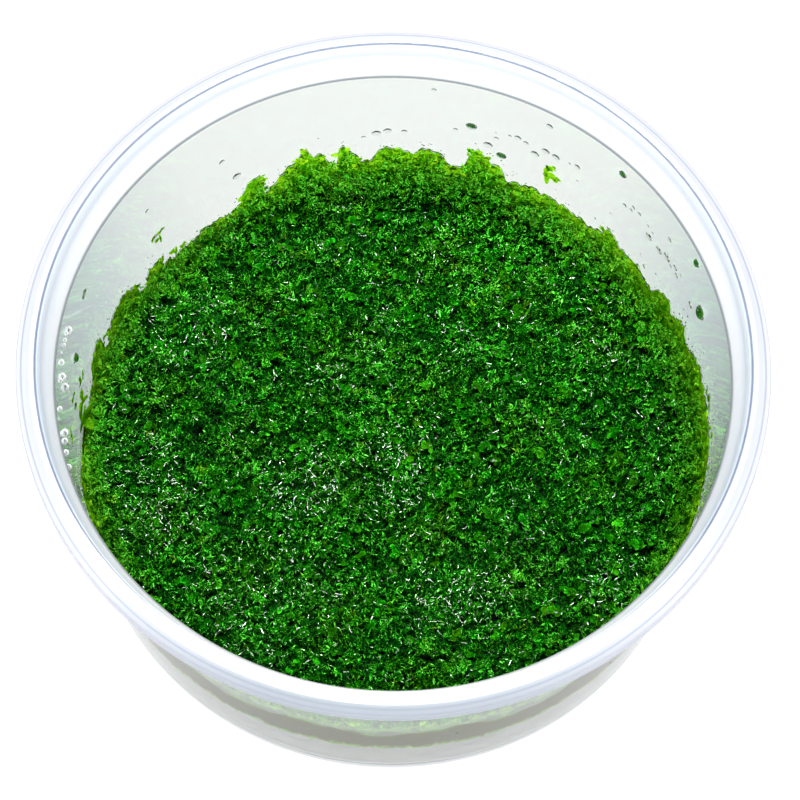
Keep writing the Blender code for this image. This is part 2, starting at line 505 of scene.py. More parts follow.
@dataclass(frozen=True)
class PaleFloor:
    """The white opal top of a light table, which glows a little and so shows no hard shadow."""

    colour: Triple = (0.13, 0.13, 0.131)
    duller: Triple = (0.11, 0.11, 0.112)
    glow: Triple = (0.985, 0.985, 0.99)
    glow_strength: float = 0.94
    roughness: float = 0.9
    clouds_per_metre: float = 6.0

    def make(self) -> Material:
        """Matt opal with a barely uneven tone.

        Returns:
            The material.
        """
        bench = Bench("pale_floor")
        cloud = bench.noise(self.clouds_per_metre, 2.0) * 0.03
        colour = bench.mixed(cloud, self.colour, self.duller)
        glow = {"Emission Color": self.glow, "Emission Strength": self.glow_strength}
        return bench.done(bench.principled(colour, self.roughness, glow))


# Surfaces


@dataclass
class Surface:
    """A closed surface as points and triangles, before it becomes a piece.

    The growth column holds lightness, yellowness and nearness to a lobe's edge for each point of moss.
    """

    points: Array
    faces: Indices
    growth: Array | None = None
    sharp_deg: float = 65.0

    def outward(self) -> Surface:
        """The same surface with its faces pointing out, judged by the sign of its volume.

        Returns:
            This surface.
        """
        corners = self.points[self.faces]
        volume = np.einsum("ij,ij->i", corners[:, 0], np.cross(corners[:, 1], corners[:, 2])).sum()
        if volume < 0.0:
            self.faces = self.faces[:, ::-1]
        return self

    @staticmethod
    def joined(parts: list[Surface]) -> Surface:
        """Several surfaces as one, with their faces renumbered.

        Args:
            parts: The surfaces.

        Returns:
            One surface, tinted if they all are.
        """
        starts = np.cumsum([0] + [len(part.points) for part in parts[:-1]])
        faces = np.concatenate([part.faces + start for part, start in zip(parts, starts)])
        points = np.concatenate([part.points for part in parts])
        tinted = all(part.growth is not None for part in parts)
        return Surface(points, faces, np.concatenate([part.growth for part in parts]) if tinted else None)

    @staticmethod
    def repeated(points: Array, pattern: Indices, growth: Array | None = None) -> Surface:
        """Many small shapes (shape, point, xyz) as one surface, all with the same pattern of triangles.

        Args:
            points: The points of every shape.
            pattern: The triangles of one.
            growth: The growth colour of each point, where it has one.

        Returns:
            The surface.
        """
        faces = pattern + (np.arange(len(points)) * points.shape[1])[:, None, None]
        tint = None if growth is None else growth.reshape(-1, 3)
        return Surface(points.reshape(-1, 3), faces.reshape(-1, 3), tint)

    def moss(self, name: str, material: Material) -> Piece:
        """Makes a piece of the moss."""
        return self.piece(name, material, Slot.MOSS, Node.MOSS)

    def piece(
        self, name: str, material: Material, slot: Slot | None = None, node: Node | None = None
    ) -> Piece:
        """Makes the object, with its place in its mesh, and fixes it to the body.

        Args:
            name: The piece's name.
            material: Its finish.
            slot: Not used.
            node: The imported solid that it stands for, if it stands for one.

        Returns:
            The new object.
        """
        mesh = bpy.data.meshes.new(name)
        mesh.vertices.add(len(self.points))
        mesh.vertices.foreach_set("co", self.points.astype(np.float32).ravel())
        mesh.loops.add(self.faces.size)
        mesh.loops.foreach_set("vertex_index", self.faces.astype(np.int32).ravel())
        mesh.polygons.add(len(self.faces))
        mesh.polygons.foreach_set("loop_start", np.arange(0, self.faces.size, 3, dtype=np.int32))
        if self.growth is not None:
            layer = mesh.attributes.new("growth", "FLOAT_COLOR", "POINT")
            alpha = np.ones((len(self.growth), 1))
            layer.data.foreach_set("color", np.hstack([self.growth, alpha]).astype(np.float32).ravel())
        mesh.update(calc_edges=True)
        mesh.validate()
        mesh.shade_smooth()
        mesh.set_sharp_from_angle(angle=math.radians(self.sharp_deg))
        mesh.materials.append(material)
        made = bpy.data.objects.new(name, mesh)
        bpy.context.scene.collection.objects.link(made)
        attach(made, BODY)
        if node is not None:
            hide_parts(node.value)
        LOG.info("%s: %d triangles", name, len(self.faces))
        return made


def unit(vectors: Array) -> Array:
    """The same directions with length 1."""
    return vectors / np.linalg.norm(vectors, axis=-1, keepdims=True)


def square_to(vectors: Array, axis: Array) -> Array:
    """The unit directions nearest to these that are square to an axis: v - (v . a) a, made length 1."""
    return unit(vectors - axis * (vectors * axis).sum(-1, keepdims=True))


def circle(steps: int) -> Array:
    """The azimuths of this many even steps round the axis."""
    return np.arange(steps) * (math.tau / steps)


def polar(radius: Any, turn: Array, height: Any) -> Array:
    """Points (r cos a, r sin a, z)."""
    return np.stack([radius * np.cos(turn), radius * np.sin(turn), height], -1)


def level(turn: Array) -> Array:
    """The level directions (cos a, sin a) at these azimuths."""
    return np.stack([np.cos(turn), np.sin(turn)], -1)


def tilted(turn: Array, tilt: Array) -> tuple[Array, Array]:
    """The heading that points to each azimuth and this far up, and the upper normal that is square to it.

    Args:
        turn: The azimuths.
        tilt: How far up each points, in radians.

    Returns:
        The headings and normals.
    """
    flat, up = polar(1.0, turn, np.zeros(len(turn))), np.array([0.0, 0.0, 1.0])
    rise, reach = np.sin(tilt)[:, None], np.cos(tilt)[:, None]
    return flat * reach + up * rise, up * reach - flat * rise


def tones(*values: Any) -> Array:
    """Lightness, yellowness and any edge share side by side, each kept between 0 and 1."""
    return np.clip(np.stack(np.broadcast_arrays(*values), -1), 0.0, 1.0)


def ripples(turn: Array, *parts: Triple) -> Array:
    """A wavy line round the axis: the sum of share * sin(count * turn + phase) over the parts."""
    return sum(share * np.sin(turn * count + phase) for share, count, phase in parts)


def waves(x: Array, y: Array, parts: Table) -> Array:
    """A smooth uneven value: the sum of share * sin(2 pi (x cos d + y sin d) / spacing + phase).

    Args:
        x: First coordinates.
        y: Second coordinates.
        parts: For each wave its share, direction d in degrees, spacing in metres and phase in degrees.

    Returns:
        The value at each point.
    """
    table = np.array(parts)
    direction, phase = np.radians(table[:, 1]), np.radians(table[:, 3])
    along = np.multiply.outer(x, np.cos(direction)) + np.multiply.outer(y, np.sin(direction))
    return (table[:, 0] * np.sin(math.tau * along / table[:, 2] + phase)).sum(axis=-1)


def rounded(corners: Array, radii: Array, steps: int) -> Array:
    """An outline whose corners are rounded, with a spare point each side that keeps flat stretches flat.

    Near a corner P the outline leaves each side at a distance t and follows (1-s)^2 A + 2s(1-s) P + s^2 B,
    with A and B the points at distance t on the two sides.

    Args:
        corners: Points (r, z) of the outline.
        radii: The distance t for each inner corner.
        steps: How many points each rounding has.

    Returns:
        The points of the rounded outline, with the two ends as given.
    """
    here = corners[1:-1]
    back, on = corners[:-2] - here, corners[2:] - here
    back_length, on_length = (np.linalg.norm(side, axis=1, keepdims=True) for side in (back, on))
    reach = np.minimum(radii[:, None], 0.3 * np.minimum(back_length, on_length))
    start, end = here + back / back_length * reach, here + on / on_length * reach
    s = np.linspace(0.0, 1.0, steps)[None, :, None]
    curve = (1 - s) ** 2 * start[:, None] + 2 * s * (1 - s) * here[:, None] + s**2 * end[:, None]
    spare_start = (here + back / back_length * reach * 1.5)[:, None]
    spare_end = (here + on / on_length * reach * 1.5)[:, None]
    middle = np.concatenate([spare_start, curve, spare_end], axis=1).reshape(-1, 2)
    return np.concatenate([corners[:1], middle, corners[-1:]])


def bands(rings: int, steps: int) -> Indices:
    """The triangles between rings of points that each join up, with the points numbered ring by ring.

    Args:
        rings: How many rings there are.
        steps: How many points each has.

    Returns:
        The triangles.
    """
    row = np.arange(rings - 1)[:, None] * steps
    here = np.arange(steps)[None]
    after = (here + 1) % steps
    a, b, c, d = row + here, row + after, row + steps + after, row + steps + here
    return np.concatenate([np.stack([a, b, c], -1).reshape(-1, 3), np.stack([a, c, d], -1).reshape(-1, 3)])


def turned(profile: Array, segments: int) -> Surface:
    """A closed surface of revolution: each profile point (r, z) goes to (r cos a, r sin a, z) for every a.

    Args:
        profile: Points (r, z), the first and the last on the axis.
        segments: How many steps there are round the axis.

    Returns:
        The surface, with one point at each pole.
    """
    ring = profile[1:-1]
    grid = polar(ring[:, :1], circle(segments), np.repeat(ring[:, 1:], segments, axis=1)).reshape(-1, 3)
    poles = np.array([[0.0, 0.0, profile[0, 1]], [0.0, 0.0, profile[-1, 1]]])
    step = np.arange(segments)
    after, end = (step + 1) % segments, (len(ring) - 1) * segments
    first_cap = np.stack([np.full(segments, len(grid)), after, step], -1)
    last_cap = np.stack([np.full(segments, len(grid) + 1), end + step, end + after], -1)
    faces = np.concatenate([bands(len(ring), segments), first_cap, last_cap])
    return Surface(np.concatenate([grid, poles]), faces).outward()


def looped(grid: Array) -> Surface:
    """A closed surface like a bent tube, from a grid of points (ring, step, xyz) that joins up both ways.

    Args:
        grid: The points, ring by ring.

    Returns:
        The surface.
    """
    here = np.arange(grid.shape[0] * grid.shape[1]).reshape(grid.shape[:2])
    after, above = np.roll(here, -1, axis=1), np.roll(here, -1, axis=0)
    across = np.roll(above, -1, axis=1)
    first, second = np.stack([here, after, across], -1), np.stack([here, across, above], -1)
    faces = np.concatenate([first.reshape(-1, 3), second.reshape(-1, 3)])
    return Surface(grid.reshape(-1, 3), faces).outward()


# The camera


@dataclass(frozen=True)
class PhotoCamera:
    """The photograph's camera: a long lens that looks down into the cup from the near side."""

    elevation_deg: float = 65.51
    roll_deg: float = 1.97
    distance: float = 401.7 * MM
    look_at: Triple = (1.0 * MM, -4.4 * MM, 40.4 * MM)
    lens_mm: float = 135.0
    sensor_mm: float = 36.0
    frame_px: float = 800.0

    def axes(self) -> tuple[Array, Array, Array]:
        """The camera's right, up and back directions, after its roll.

        Returns:
            Three unit directions.
        """
        elevation, roll = math.radians(self.elevation_deg), math.radians(self.roll_deg)
        back = np.array([0.0, -math.cos(elevation), math.sin(elevation)])
        right = np.array([1.0, 0.0, 0.0])
        up = np.cross(back, right)
        rolled_right = right * math.cos(roll) + up * math.sin(roll)
        return rolled_right, up * math.cos(roll) - right * math.sin(roll), back

    def place(self) -> None:
        """Makes the camera and gives it to the scene."""
        data = bpy.data.cameras.new("photo_camera")
        data.lens = self.lens_mm
        data.sensor_width = self.sensor_mm
        data.clip_start = 0.01
        data.clip_end = 10.0
        made = bpy.data.objects.new("photo_camera", data)
        columns = np.eye(4)
        columns[:3] = np.stack([*self.axes(), self.spot()], -1)
        made.matrix_world = Matrix(columns.tolist())
        bpy.context.scene.collection.objects.link(made)
        bpy.context.scene.camera = made

    def spot(self) -> Array:
        """Where the camera stands."""
        return np.array(self.look_at) + self.axes()[2] * self.distance

    def rays(self, pixels: Array) -> Array:
        """The direction of the ray through each point (x, y) of the photograph.

        Args:
            pixels: Points (x, y) of the photograph.

        Returns:
            The directions.
        """
        right, up, back = self.axes()
        across = (pixels - self.frame_px / 2) / (self.lens_mm / self.sensor_mm * self.frame_px)
        return across[:, :1] * right - across[:, 1:] * up - back

    def on_level(self, pixels: Array, height: float) -> Array:
        """Where the rays through these pixels meet the level plane at this height.

        Args:
            pixels: Points (x, y) of the photograph.
            height: The plane's height.

        Returns:
            Points (x, y, z).
        """
        ray = self.rays(pixels)
        reach = (height - self.spot()[2]) / ray[:, 2:]
        return self.spot() + reach * ray

    def on_wall(self, pixels: Array, cup: CupShape) -> tuple[Array, Array]:
        """Where the camera's rays through these pixels last meet the inside of the cup's wall.

        A ray o + k d meets the cone r = a + b z where (ox + k dx)^2 + (oy + k dy)^2 = (a + b (oz + k dz))^2,
        and the larger k is the far side.

        Args:
            pixels: Points (x, y) of the photograph.
            cup: The cup, for its wall.

        Returns:
            The azimuth in radians and the height of each point.
        """
        ray, origin, slope = self.rays(pixels), self.spot(), cup.wall_slope()
        reach = cup.inner_radius(0.0) + slope * origin[2]
        a = ray[:, 0] ** 2 + ray[:, 1] ** 2 - (slope * ray[:, 2]) ** 2
        b = 2.0 * (origin[0] * ray[:, 0] + origin[1] * ray[:, 1] - reach * slope * ray[:, 2])
        c = origin[0] ** 2 + origin[1] ** 2 - reach**2
        k = (-b + np.sqrt(np.maximum(b * b - 4.0 * a * c, 0.0))) / (2.0 * a)
        point = origin + k[:, None] * ray
        return np.arctan2(point[:, 1], point[:, 0]), point[:, 2]


# The cup


@dataclass
class CupShape:
    """The clear moulded cup: a leaning wall, a ledge, a flared collar and a skirt that hangs outside it."""

    rim_radius: float
    height: float
    ledge_height: float = 40.4 * MM
    ledge_radius: float = 45.4 * MM
    base_radius: float = 43.5 * MM
    wall: float = 0.8 * MM
    floor: float = 0.9 * MM
    corner: float = 2.5 * MM
    foot_inner: float = 36.0 * MM
    foot_recess: float = 0.6 * MM
    foot_slope: float = 0.8 * MM
    ledge_width: float = 0.3 * MM
    ledge_rise: float = 0.2 * MM
    crest_inner: float = 47.7 * MM
    crest_outer: float = 48.5 * MM
    shoulder_radius: float = 49.4 * MM
    shoulder_drop: float = 0.9 * MM
    skirt_drop: float = 1.3 * MM
    skirt_height: float = 1.9 * MM
    rim_wall: float = 0.85 * MM
    edge: float = 0.22 * MM
    segments: int = 288

    def wall_slope(self) -> float:
        """How far the wall moves outwards for each unit that it rises."""
        return (self.ledge_radius + self.wall - self.base_radius) / (self.ledge_height - self.corner)

    def inner_radius(self, height: Any) -> Any:
        """The wall's inner radius at a height, or at an array of heights."""
        return self.base_radius - self.wall + self.wall_slope() * (height - self.corner)

    def near_wall(self, turn: Array, height: Array, off: Any) -> Array:
        """The points at these azimuths and heights that stand this far off the wall's inner face."""
        return polar(self.inner_radius(height) - off, turn, height)

    def corners(self) -> Array:
        """The outline's corners (r, z), each with its rounding, from the floor over the rim to the foot.

        Returns:
            Rows of r, z and rounding.
        """
        top, ledge_z = self.height, self.ledge_height
        inner_floor = self.foot_recess + self.floor
        skirt_top = top - self.skirt_drop
        skirt_foot = skirt_top - self.skirt_height
        skirt_inner = self.rim_radius - self.rim_wall
        roof = top - self.rim_wall
        lip = self.ledge_radius + self.ledge_width
        return np.array([
            (0.0, inner_floor, 0.0),
            (self.inner_radius(inner_floor), inner_floor, 1.6 * MM),
            (self.ledge_radius, ledge_z, 0.06 * MM),
            (lip, ledge_z + self.ledge_rise, 0.18 * MM),
            (self.crest_inner - 0.35 * MM, top - 0.3 * MM, 0.3 * MM),
            (self.crest_inner, top, 0.3 * MM),
            (self.crest_outer, top, 0.28 * MM),
            (self.shoulder_radius, top - self.shoulder_drop, self.edge),
            (self.rim_radius, skirt_top, self.edge),
            (self.rim_radius, skirt_foot, self.edge),
            (skirt_inner, skirt_foot, self.edge),
            (skirt_inner, skirt_top - 0.3 * MM, self.edge),
            (self.crest_outer, roof - 0.15 * MM, self.edge),
            (self.crest_inner + 0.5 * self.rim_wall, roof - 0.3 * MM, self.edge),
            (lip + self.wall, ledge_z + self.ledge_rise, 0.6 * MM),
            (self.ledge_radius + self.wall, ledge_z - self.wall, 0.3 * MM),
            (self.base_radius - self.wall_slope() * self.corner, 0.0, self.corner),
            (self.foot_inner, 0.0, self.edge),
            (self.foot_inner - self.foot_slope, self.foot_recess, self.edge),
            (0.0, self.foot_recess, 0.0),
        ])

    def build(self, material: Material) -> Piece:
        """Makes the cup as one turned piece.

        Args:
            material: The plastic.

        Returns:
            The cup.
        """
        table = self.corners()
        surface = turned(rounded(table[:, :2], table[1:-1, 2], 7), self.segments)
        return surface.piece("culture_cup", material, Slot.PLASTIC, Node.CUP)


@dataclass
class GelBed:
    """The bed of clear gel, with a low meniscus where it meets the wall."""

    cup: CupShape
    top: float
    clearance: float = 0.13 * MM
    meniscus: float = 1.4 * MM
    meniscus_width: float = 1.2 * MM
    segments: int = 192

    def build(self, material: Material) -> Piece:
        """Makes the gel as one turned piece.

        Args:
            material: The gel's finish.

        Returns:
            The gel.
        """
        floor = self.cup.foot_recess + self.cup.floor + self.clearance
        crest = self.top + self.meniscus
        foot, side = (self.cup.inner_radius(height) - self.clearance for height in (floor, crest))
        inner = (side - self.meniscus_width, self.top)
        outline = np.array([(0.0, floor), (foot, floor), (side, crest), inner, (0.0, self.top)])
        surface = turned(rounded(outline, np.array([1.7, 0.05, 0.9]) * MM, 6), self.segments)
        return surface.piece("gel_bed", material, Slot.GEL, Node.GEL)


# The moss


@dataclass
class MatShape:
    """The form of the whole mat: soft hummocks in the middle, and an edge that climbs the wall in lobes."""

    cup: CupShape
    gel_top: float = 11.5 * MM
    top: float = 16.4 * MM
    edge_drop: float = 1.2 * MM
    climb_start: float = 37.0 * MM
    below_edge: float = 0.4 * MM
    edge_mean_deg: float = 4.5
    edge_mean_samples: int = 7
    lump_height: float = 0.9 * MM
    lump_waves: Table = (
        (0.34, 12, 10.5 * MM, 75), (0.30, 71, 12.075 * MM, 200), (0.26, 133, 9.45 * MM, 310),
        (0.30, 101, 16.8 * MM, 20),
    )
    dimple_depth: float = 0.55 * MM
    dimple_waves: Table = (
        (0.40, 25, 3.7 * MM, 10), (0.36, 88, 4.4 * MM, 130), (0.34, 150, 3.2 * MM, 250),
        (0.30, 58, 5.6 * MM, 40),
    )
    climbs_mm: Table = (
        (0, 17, 8.6), (25, 12, 5.2), (45, 9, 6.4), (60, 13, 4.6), (75, 8, 9.0), (90, 11, 6.2),
        (110, 12, 8.4), (120, 7, 5.6), (150, 10, 4.0), (168, 9, 5.6), (195, 16, 9.4), (222, 20, 5.0),
        (258, 22, 7.2), (296, 20, 5.8), (334, 18, 6.2),
    )
    edge_mm: Table = (
        (0, 24.2), (4, 23.6), (9, 23.4), (13, 24), (17, 22), (19.7, 20.8), (21.5, 23.5), (24, 22.1),
        (26.5, 20.6), (28, 22.9), (32.2, 20.8), (33.5, 18.8), (38, 20.6), (42, 20.2), (44.6, 21.4),
        (46.9, 22.5), (48, 20.2), (51, 19.2), (55, 19.7), (60, 20.2), (64.4, 20.3), (69.5, 19.2),
        (70.4, 22), (72.8, 22.5), (75.5, 25.1), (77.4, 22.6), (77.9, 19.6), (80.4, 19.3), (82.9, 22.1),
        (85.4, 23.1), (87.8, 21.4), (92.2, 23), (94.1, 22.2), (95.8, 19.9), (97.5, 18.9), (98.3, 20.8),
        (101.1, 23.7), (102, 22.9), (102.7, 18.3), (104.4, 21.1), (106.1, 23.4), (107.1, 22.1), (108.2, 25),
        (110.3, 22.6), (113, 20.6), (115.9, 17.6), (117, 16.6), (117.6, 22.2), (119.6, 21.7), (121.6, 20),
        (122.2, 17.2), (125.3, 15.4), (127.2, 16.3), (131.5, 16.1), (135, 14.8), (138, 15), (141.3, 14.4),
        (141.8, 18), (145.4, 18.1), (146.6, 15.4), (148.6, 14.4), (149.1, 18.2), (151.7, 19.6),
        (154.4, 20.2), (157.8, 19.2), (160.4, 18), (161.2, 14.6), (162.3, 15), (162.9, 20.4), (165.7, 20.8),
        (169, 19.4), (170.5, 15.8), (175, 14.9), (183, 15.3), (188, 18.2), (192.7, 22.3), (199, 23.6),
        (212, 23.4), (226, 22.6), (238, 21.9), (252, 22.7), (262, 21.8), (271, 22.6), (283, 22), (297, 23),
        (309, 22.4), (323, 23.6), (336, 24), (345, 24.6), (354, 25),
    )

    def edge(self, azimuth: Array) -> Array:
        """The height of the moss's edge on the wall at each azimuth, read along the photograph's outline."""
        at, high = np.array(self.edge_mm).T
        return np.interp(np.degrees(azimuth) % 360.0, at, high, period=360.0) * MM

    def climb(self, azimuth: Array) -> Array:
        """How high the mat climbs the wall.

        It is the highest of the humps h (1 - |d / w|^4), and no higher than the edge's own mean height over
        a few degrees round it.

        Args:
            azimuth: Where it is asked for.

        Returns:
            The climb at each azimuth.
        """
        table = np.array(self.climbs_mm)
        away = (np.degrees(azimuth)[..., None] - table[:, 0] + 180.0) % 360.0 - 180.0
        share = np.minimum(np.abs(away) / table[:, 1], 1.0)
        hump = (table[:, 2] * MM * (1.0 - share**4)).max(axis=-1)
        near = np.radians(np.linspace(-self.edge_mean_deg, self.edge_mean_deg, self.edge_mean_samples))
        mean = np.mean([self.edge(azimuth + shift) for shift in near], axis=0)
        return np.minimum(hump, np.maximum(mean - self.top + self.edge_drop - self.below_edge, 0.0))

    def edge_share(self, x: Array, y: Array) -> Array:
        """0 in the middle of the mat, rising to 1 at the wall."""
        wall = self.cup.inner_radius(self.top)
        return np.clip((np.hypot(x, y) - self.climb_start) / (wall - self.climb_start), 0.0, 1.0)

    def height(self, x: Array, y: Array) -> Array:
        """The height of the mat's outer form: top + lumps - drop e + climb e^3, with e the edge share.

        Args:
            x: First coordinates.
            y: Second coordinates.

        Returns:
            The height at each point.
        """
        edge = self.edge_share(x, y)
        lumps = self.lump_height * waves(x, y, self.lump_waves)
        return self.top + lumps - self.edge_drop * edge + self.climb(np.arctan2(y, x)) * edge**3

    def dimples(self, x: Array, y: Array) -> Array:
        """How deep the small hollows between tufts are, between 0 and twice the dimple depth."""
        return self.dimple_depth * (1.0 + np.clip(waves(x, y, self.dimple_waves), -1.0, 1.0))


@dataclass
class Ribbons:
    """Many narrow lobes, each a small closed ribbon: a root, a few rings of three points and a tip.

    The middle line is root + L (h t + n c t^2 / 2 + s b t^2 / 2) for t from 0 to 1, with h the heading, n
    the normal, s the side between them, c the curl and b the bend. A ring is given by its t and its share of
    the width, and goes from the left edge over a low crown to the right edge.
    """

    root: Array
    heading: Array
    normal: Array
    length: Array
    width: Array
    thickness: Array
    curl: Array
    bend: Array
    growth: Array
    rings: Table

    def line(self, t: float) -> Array:
        """The point of every middle line at t.

        Args:
            t: How far along, from 0 to 1.

        Returns:
            One point for each ribbon.
        """
        side = np.cross(self.normal, self.heading)
        lift = self.normal * (0.5 * t * t * self.curl)[:, None]
        sway = side * (0.5 * t * t * self.bend)[:, None]
        return self.root + self.length[:, None] * (self.heading * t + lift + sway)

    def surface(self) -> Surface:
        """All the ribbons as one surface.

        Returns:
            The surface, with its growth colours.
        """
        side = unit(np.cross(self.normal, self.heading))
        points, tints = [self.line(0.0)], [self._tint(0.0, 0.2)]
        for t, full in self.rings:
            middle = self.line(t)
            lean = unit(self.normal - self.heading * (self.curl * t)[:, None])
            half = side * (0.5 * full * self.width)[:, None]
            points += [middle + half, middle - half, middle + lean * (full * self.thickness)[:, None]]
            rim = self._tint(t, 0.55 + 0.45 * t)
            tints += [rim, rim, self._tint(t, 0.0)]
        points.append(self.line(1.0))
        tints.append(self._tint(1.0, 1.0))
        return Surface.repeated(np.stack(points, axis=1), self._pattern(), np.stack(tints, axis=1))

    def _tint(self, t: float, edge: float) -> Array:
        """Lightness, yellowness and edge share of all the ribbons at t; they are darker at the root."""
        return tones(self.growth[:, 0] * (0.6 + 0.4 * t), self.growth[:, 1], edge)

    def _pattern(self) -> Indices:
        """The triangles of one ribbon: a fan at the root, bands of three sides and a fan at the tip.

        Returns:
            The triangles, with point 0 at the root.
        """
        a, b, last = np.array([1, 3, 2]), np.array([3, 2, 1]), 3 * (len(self.rings) - 1)
        root = np.stack([np.zeros(3, int), b, a], -1)
        band = np.concatenate([np.stack([a, b, b + 3], -1), np.stack([a, b + 3, a + 3], -1)])
        middle = (band + np.arange(0, last, 3)[:, None, None]).reshape(-1, 3)
        return np.concatenate([root, middle, np.stack([last + a, last + b, np.full(3, last + 4)], -1)])


# The rings of a lobe, each by its share of the way along and its share of the width
SHORT_AXIS = ((0.3, 0.85), (0.75, 0.95))
SHORT_LOBE = ((0.55, 1.0),)
OVAL = ((0.12, 0.75), (0.5, 1.0), (0.88, 0.72))
EVEN_OVAL = ((0.12, 0.75), (0.5, 1.0), (0.88, 0.75))
BLUNT = ((0.12, 0.8), (0.5, 1.0), (0.82, 0.85), (0.96, 0.5))


@dataclass(frozen=True)
class FrondHabit:
    """How one kind of frond branches: a main lobe, and side lobes left and right along it.

    Its side lobes start at a share q of the main lobe, from lobes_from onwards over lobes_over. A fall (a, b)
    is the factor a - b q, a jitter is the spread of a chance, and a range is its least and its most.
    """

    length: float
    width: float
    thickness: float
    side_lobes: int = 5
    angle_deg: float = 52.0
    side_share: float = 0.60
    curl: float = 0.45
    bend: float = 0.9
    wander: float = 0.35
    spread: float = 0.26
    axis_rings: Table = SHORT_AXIS
    lobe_rings: Table = SHORT_LOBE
    lobes_from: float = 0.14
    lobes_over: float = 0.72
    lobes_jitter: float = 0.05
    lobes_range: Pair = (0.03, 0.95)
    angle_fall: Pair = (1.15, 0.5)
    angle_jitter: float = 0.2
    share_fall: Pair = (1.15, 0.55)
    share_range: Pair = (0.75, 1.2)
    width_range: Pair = (0.75, 1.15)
    curl_jitter: float = 0.35
    lobe_curl_jitter: float = 0.4

    def grow(
        self, root: Array, heading: Array, normal: Array, size: Array, growth: Array, chance: Chance
    ) -> Surface:
        """Grows one frond at every root.

        Args:
            root: Where each frond starts.
            heading: The unit direction that it grows in.
            normal: The unit direction of its upper face.
            size: Its size beside the habit's own.
            growth: Lightness and yellowness.
            chance: The source of its small irregularities.

        Returns:
            The lobes of all the fronds.
        """
        count, lobes = len(root), self.side_lobes
        shape, flat = (count, lobes), count * lobes
        reach = self.length * size
        bend = chance.normal(0.0, self.bend, count)
        curl = chance.normal(self.curl, self.curl_jitter, count)
        width, thickness = self.width * size, self.thickness * size
        main = Ribbons(root, heading, normal, reach, width, thickness, curl, bend, growth, self.axis_rings)
        order = np.arange(lobes)
        along = self.lobes_from + self.lobes_over * order / max(lobes - 1, 1)
        along = np.clip(along + chance.normal(0.0, self.lobes_jitter, shape), *self.lobes_range)
        hand = np.where(order % 2 == 0, 1.0, -1.0)
        angle = np.radians(self.angle_deg) * hand * fallen(self.angle_fall, along)
        angle = angle + chance.normal(0.0, self.angle_jitter, shape)
        side = np.cross(normal, heading)
        curls, bends, ahead, up, across = (values[:, None] for values in (curl, bend, heading, normal, side))
        lift, sway = (0.5 * values * along**2 for values in (curls, bends))
        path = ahead * along[..., None] + up * lift[..., None] + across * sway[..., None]
        start = root[:, None] + reach[:, None, None] * path
        turn = angle + bends * along
        direction = ahead * np.cos(turn)[..., None] + across * np.sin(turn)[..., None]
        rise = curls * along + chance.normal(0.0, self.wander, shape)
        direction = unit(direction + up * rise[..., None])
        face = square_to(up + across * chance.normal(0.0, self.wander, shape)[..., None], direction)
        tone = np.repeat(growth[:, None], lobes, axis=1)
        tone[..., 0] += chance.normal(0.0, self.spread, shape)
        each = chance.uniform(*self.width_range, shape)
        share = self.side_share * fallen(self.share_fall, along) * chance.uniform(*self.share_range, shape)
        pairs = (reach, share), (width, each), (thickness, each)
        sizes = ((whole[:, None] * part).ravel() for whole, part in pairs)
        bent = chance.normal(self.curl, self.lobe_curl_jitter, flat), chance.normal(0.0, self.bend, flat)
        places = (values.reshape(flat, 3) for values in (start, direction, face))
        branches = Ribbons(*places, *sizes, *bent, tone.reshape(flat, 2), self.lobe_rings)
        return Surface.joined([main.surface(), branches.surface()])


def fallen(fall: Pair, share: Array) -> Array:
    """A fall (a, b) at each share q: a - b q."""
    return fall[0] - fall[1] * share


def scattered(count: int, radius: float, chance: Chance) -> Array:
    """Points (x, y) strewn evenly over a disc, each at the distance R sqrt(u) for a chance u.

    Args:
        count: How many there are.
        radius: The disc's radius R.
        chance: The source of their places.

    Returns:
        The points.
    """
    reach = radius * np.sqrt(chance.random(count))
    turn = chance.uniform(0.0, math.tau, count)
    return reach[:, None] * level(turn)


@dataclass(frozen=True)
class Tone:
    """How light or how yellow a growth is: a base, a change with some share, and a spread by chance."""

    base: float
    change: float
    spread: float

    def at(self, share: Array, chance: Chance) -> Array:
        """The tone at each share."""
        return self.base + self.change * share + chance.normal(0.0, self.spread, len(share))


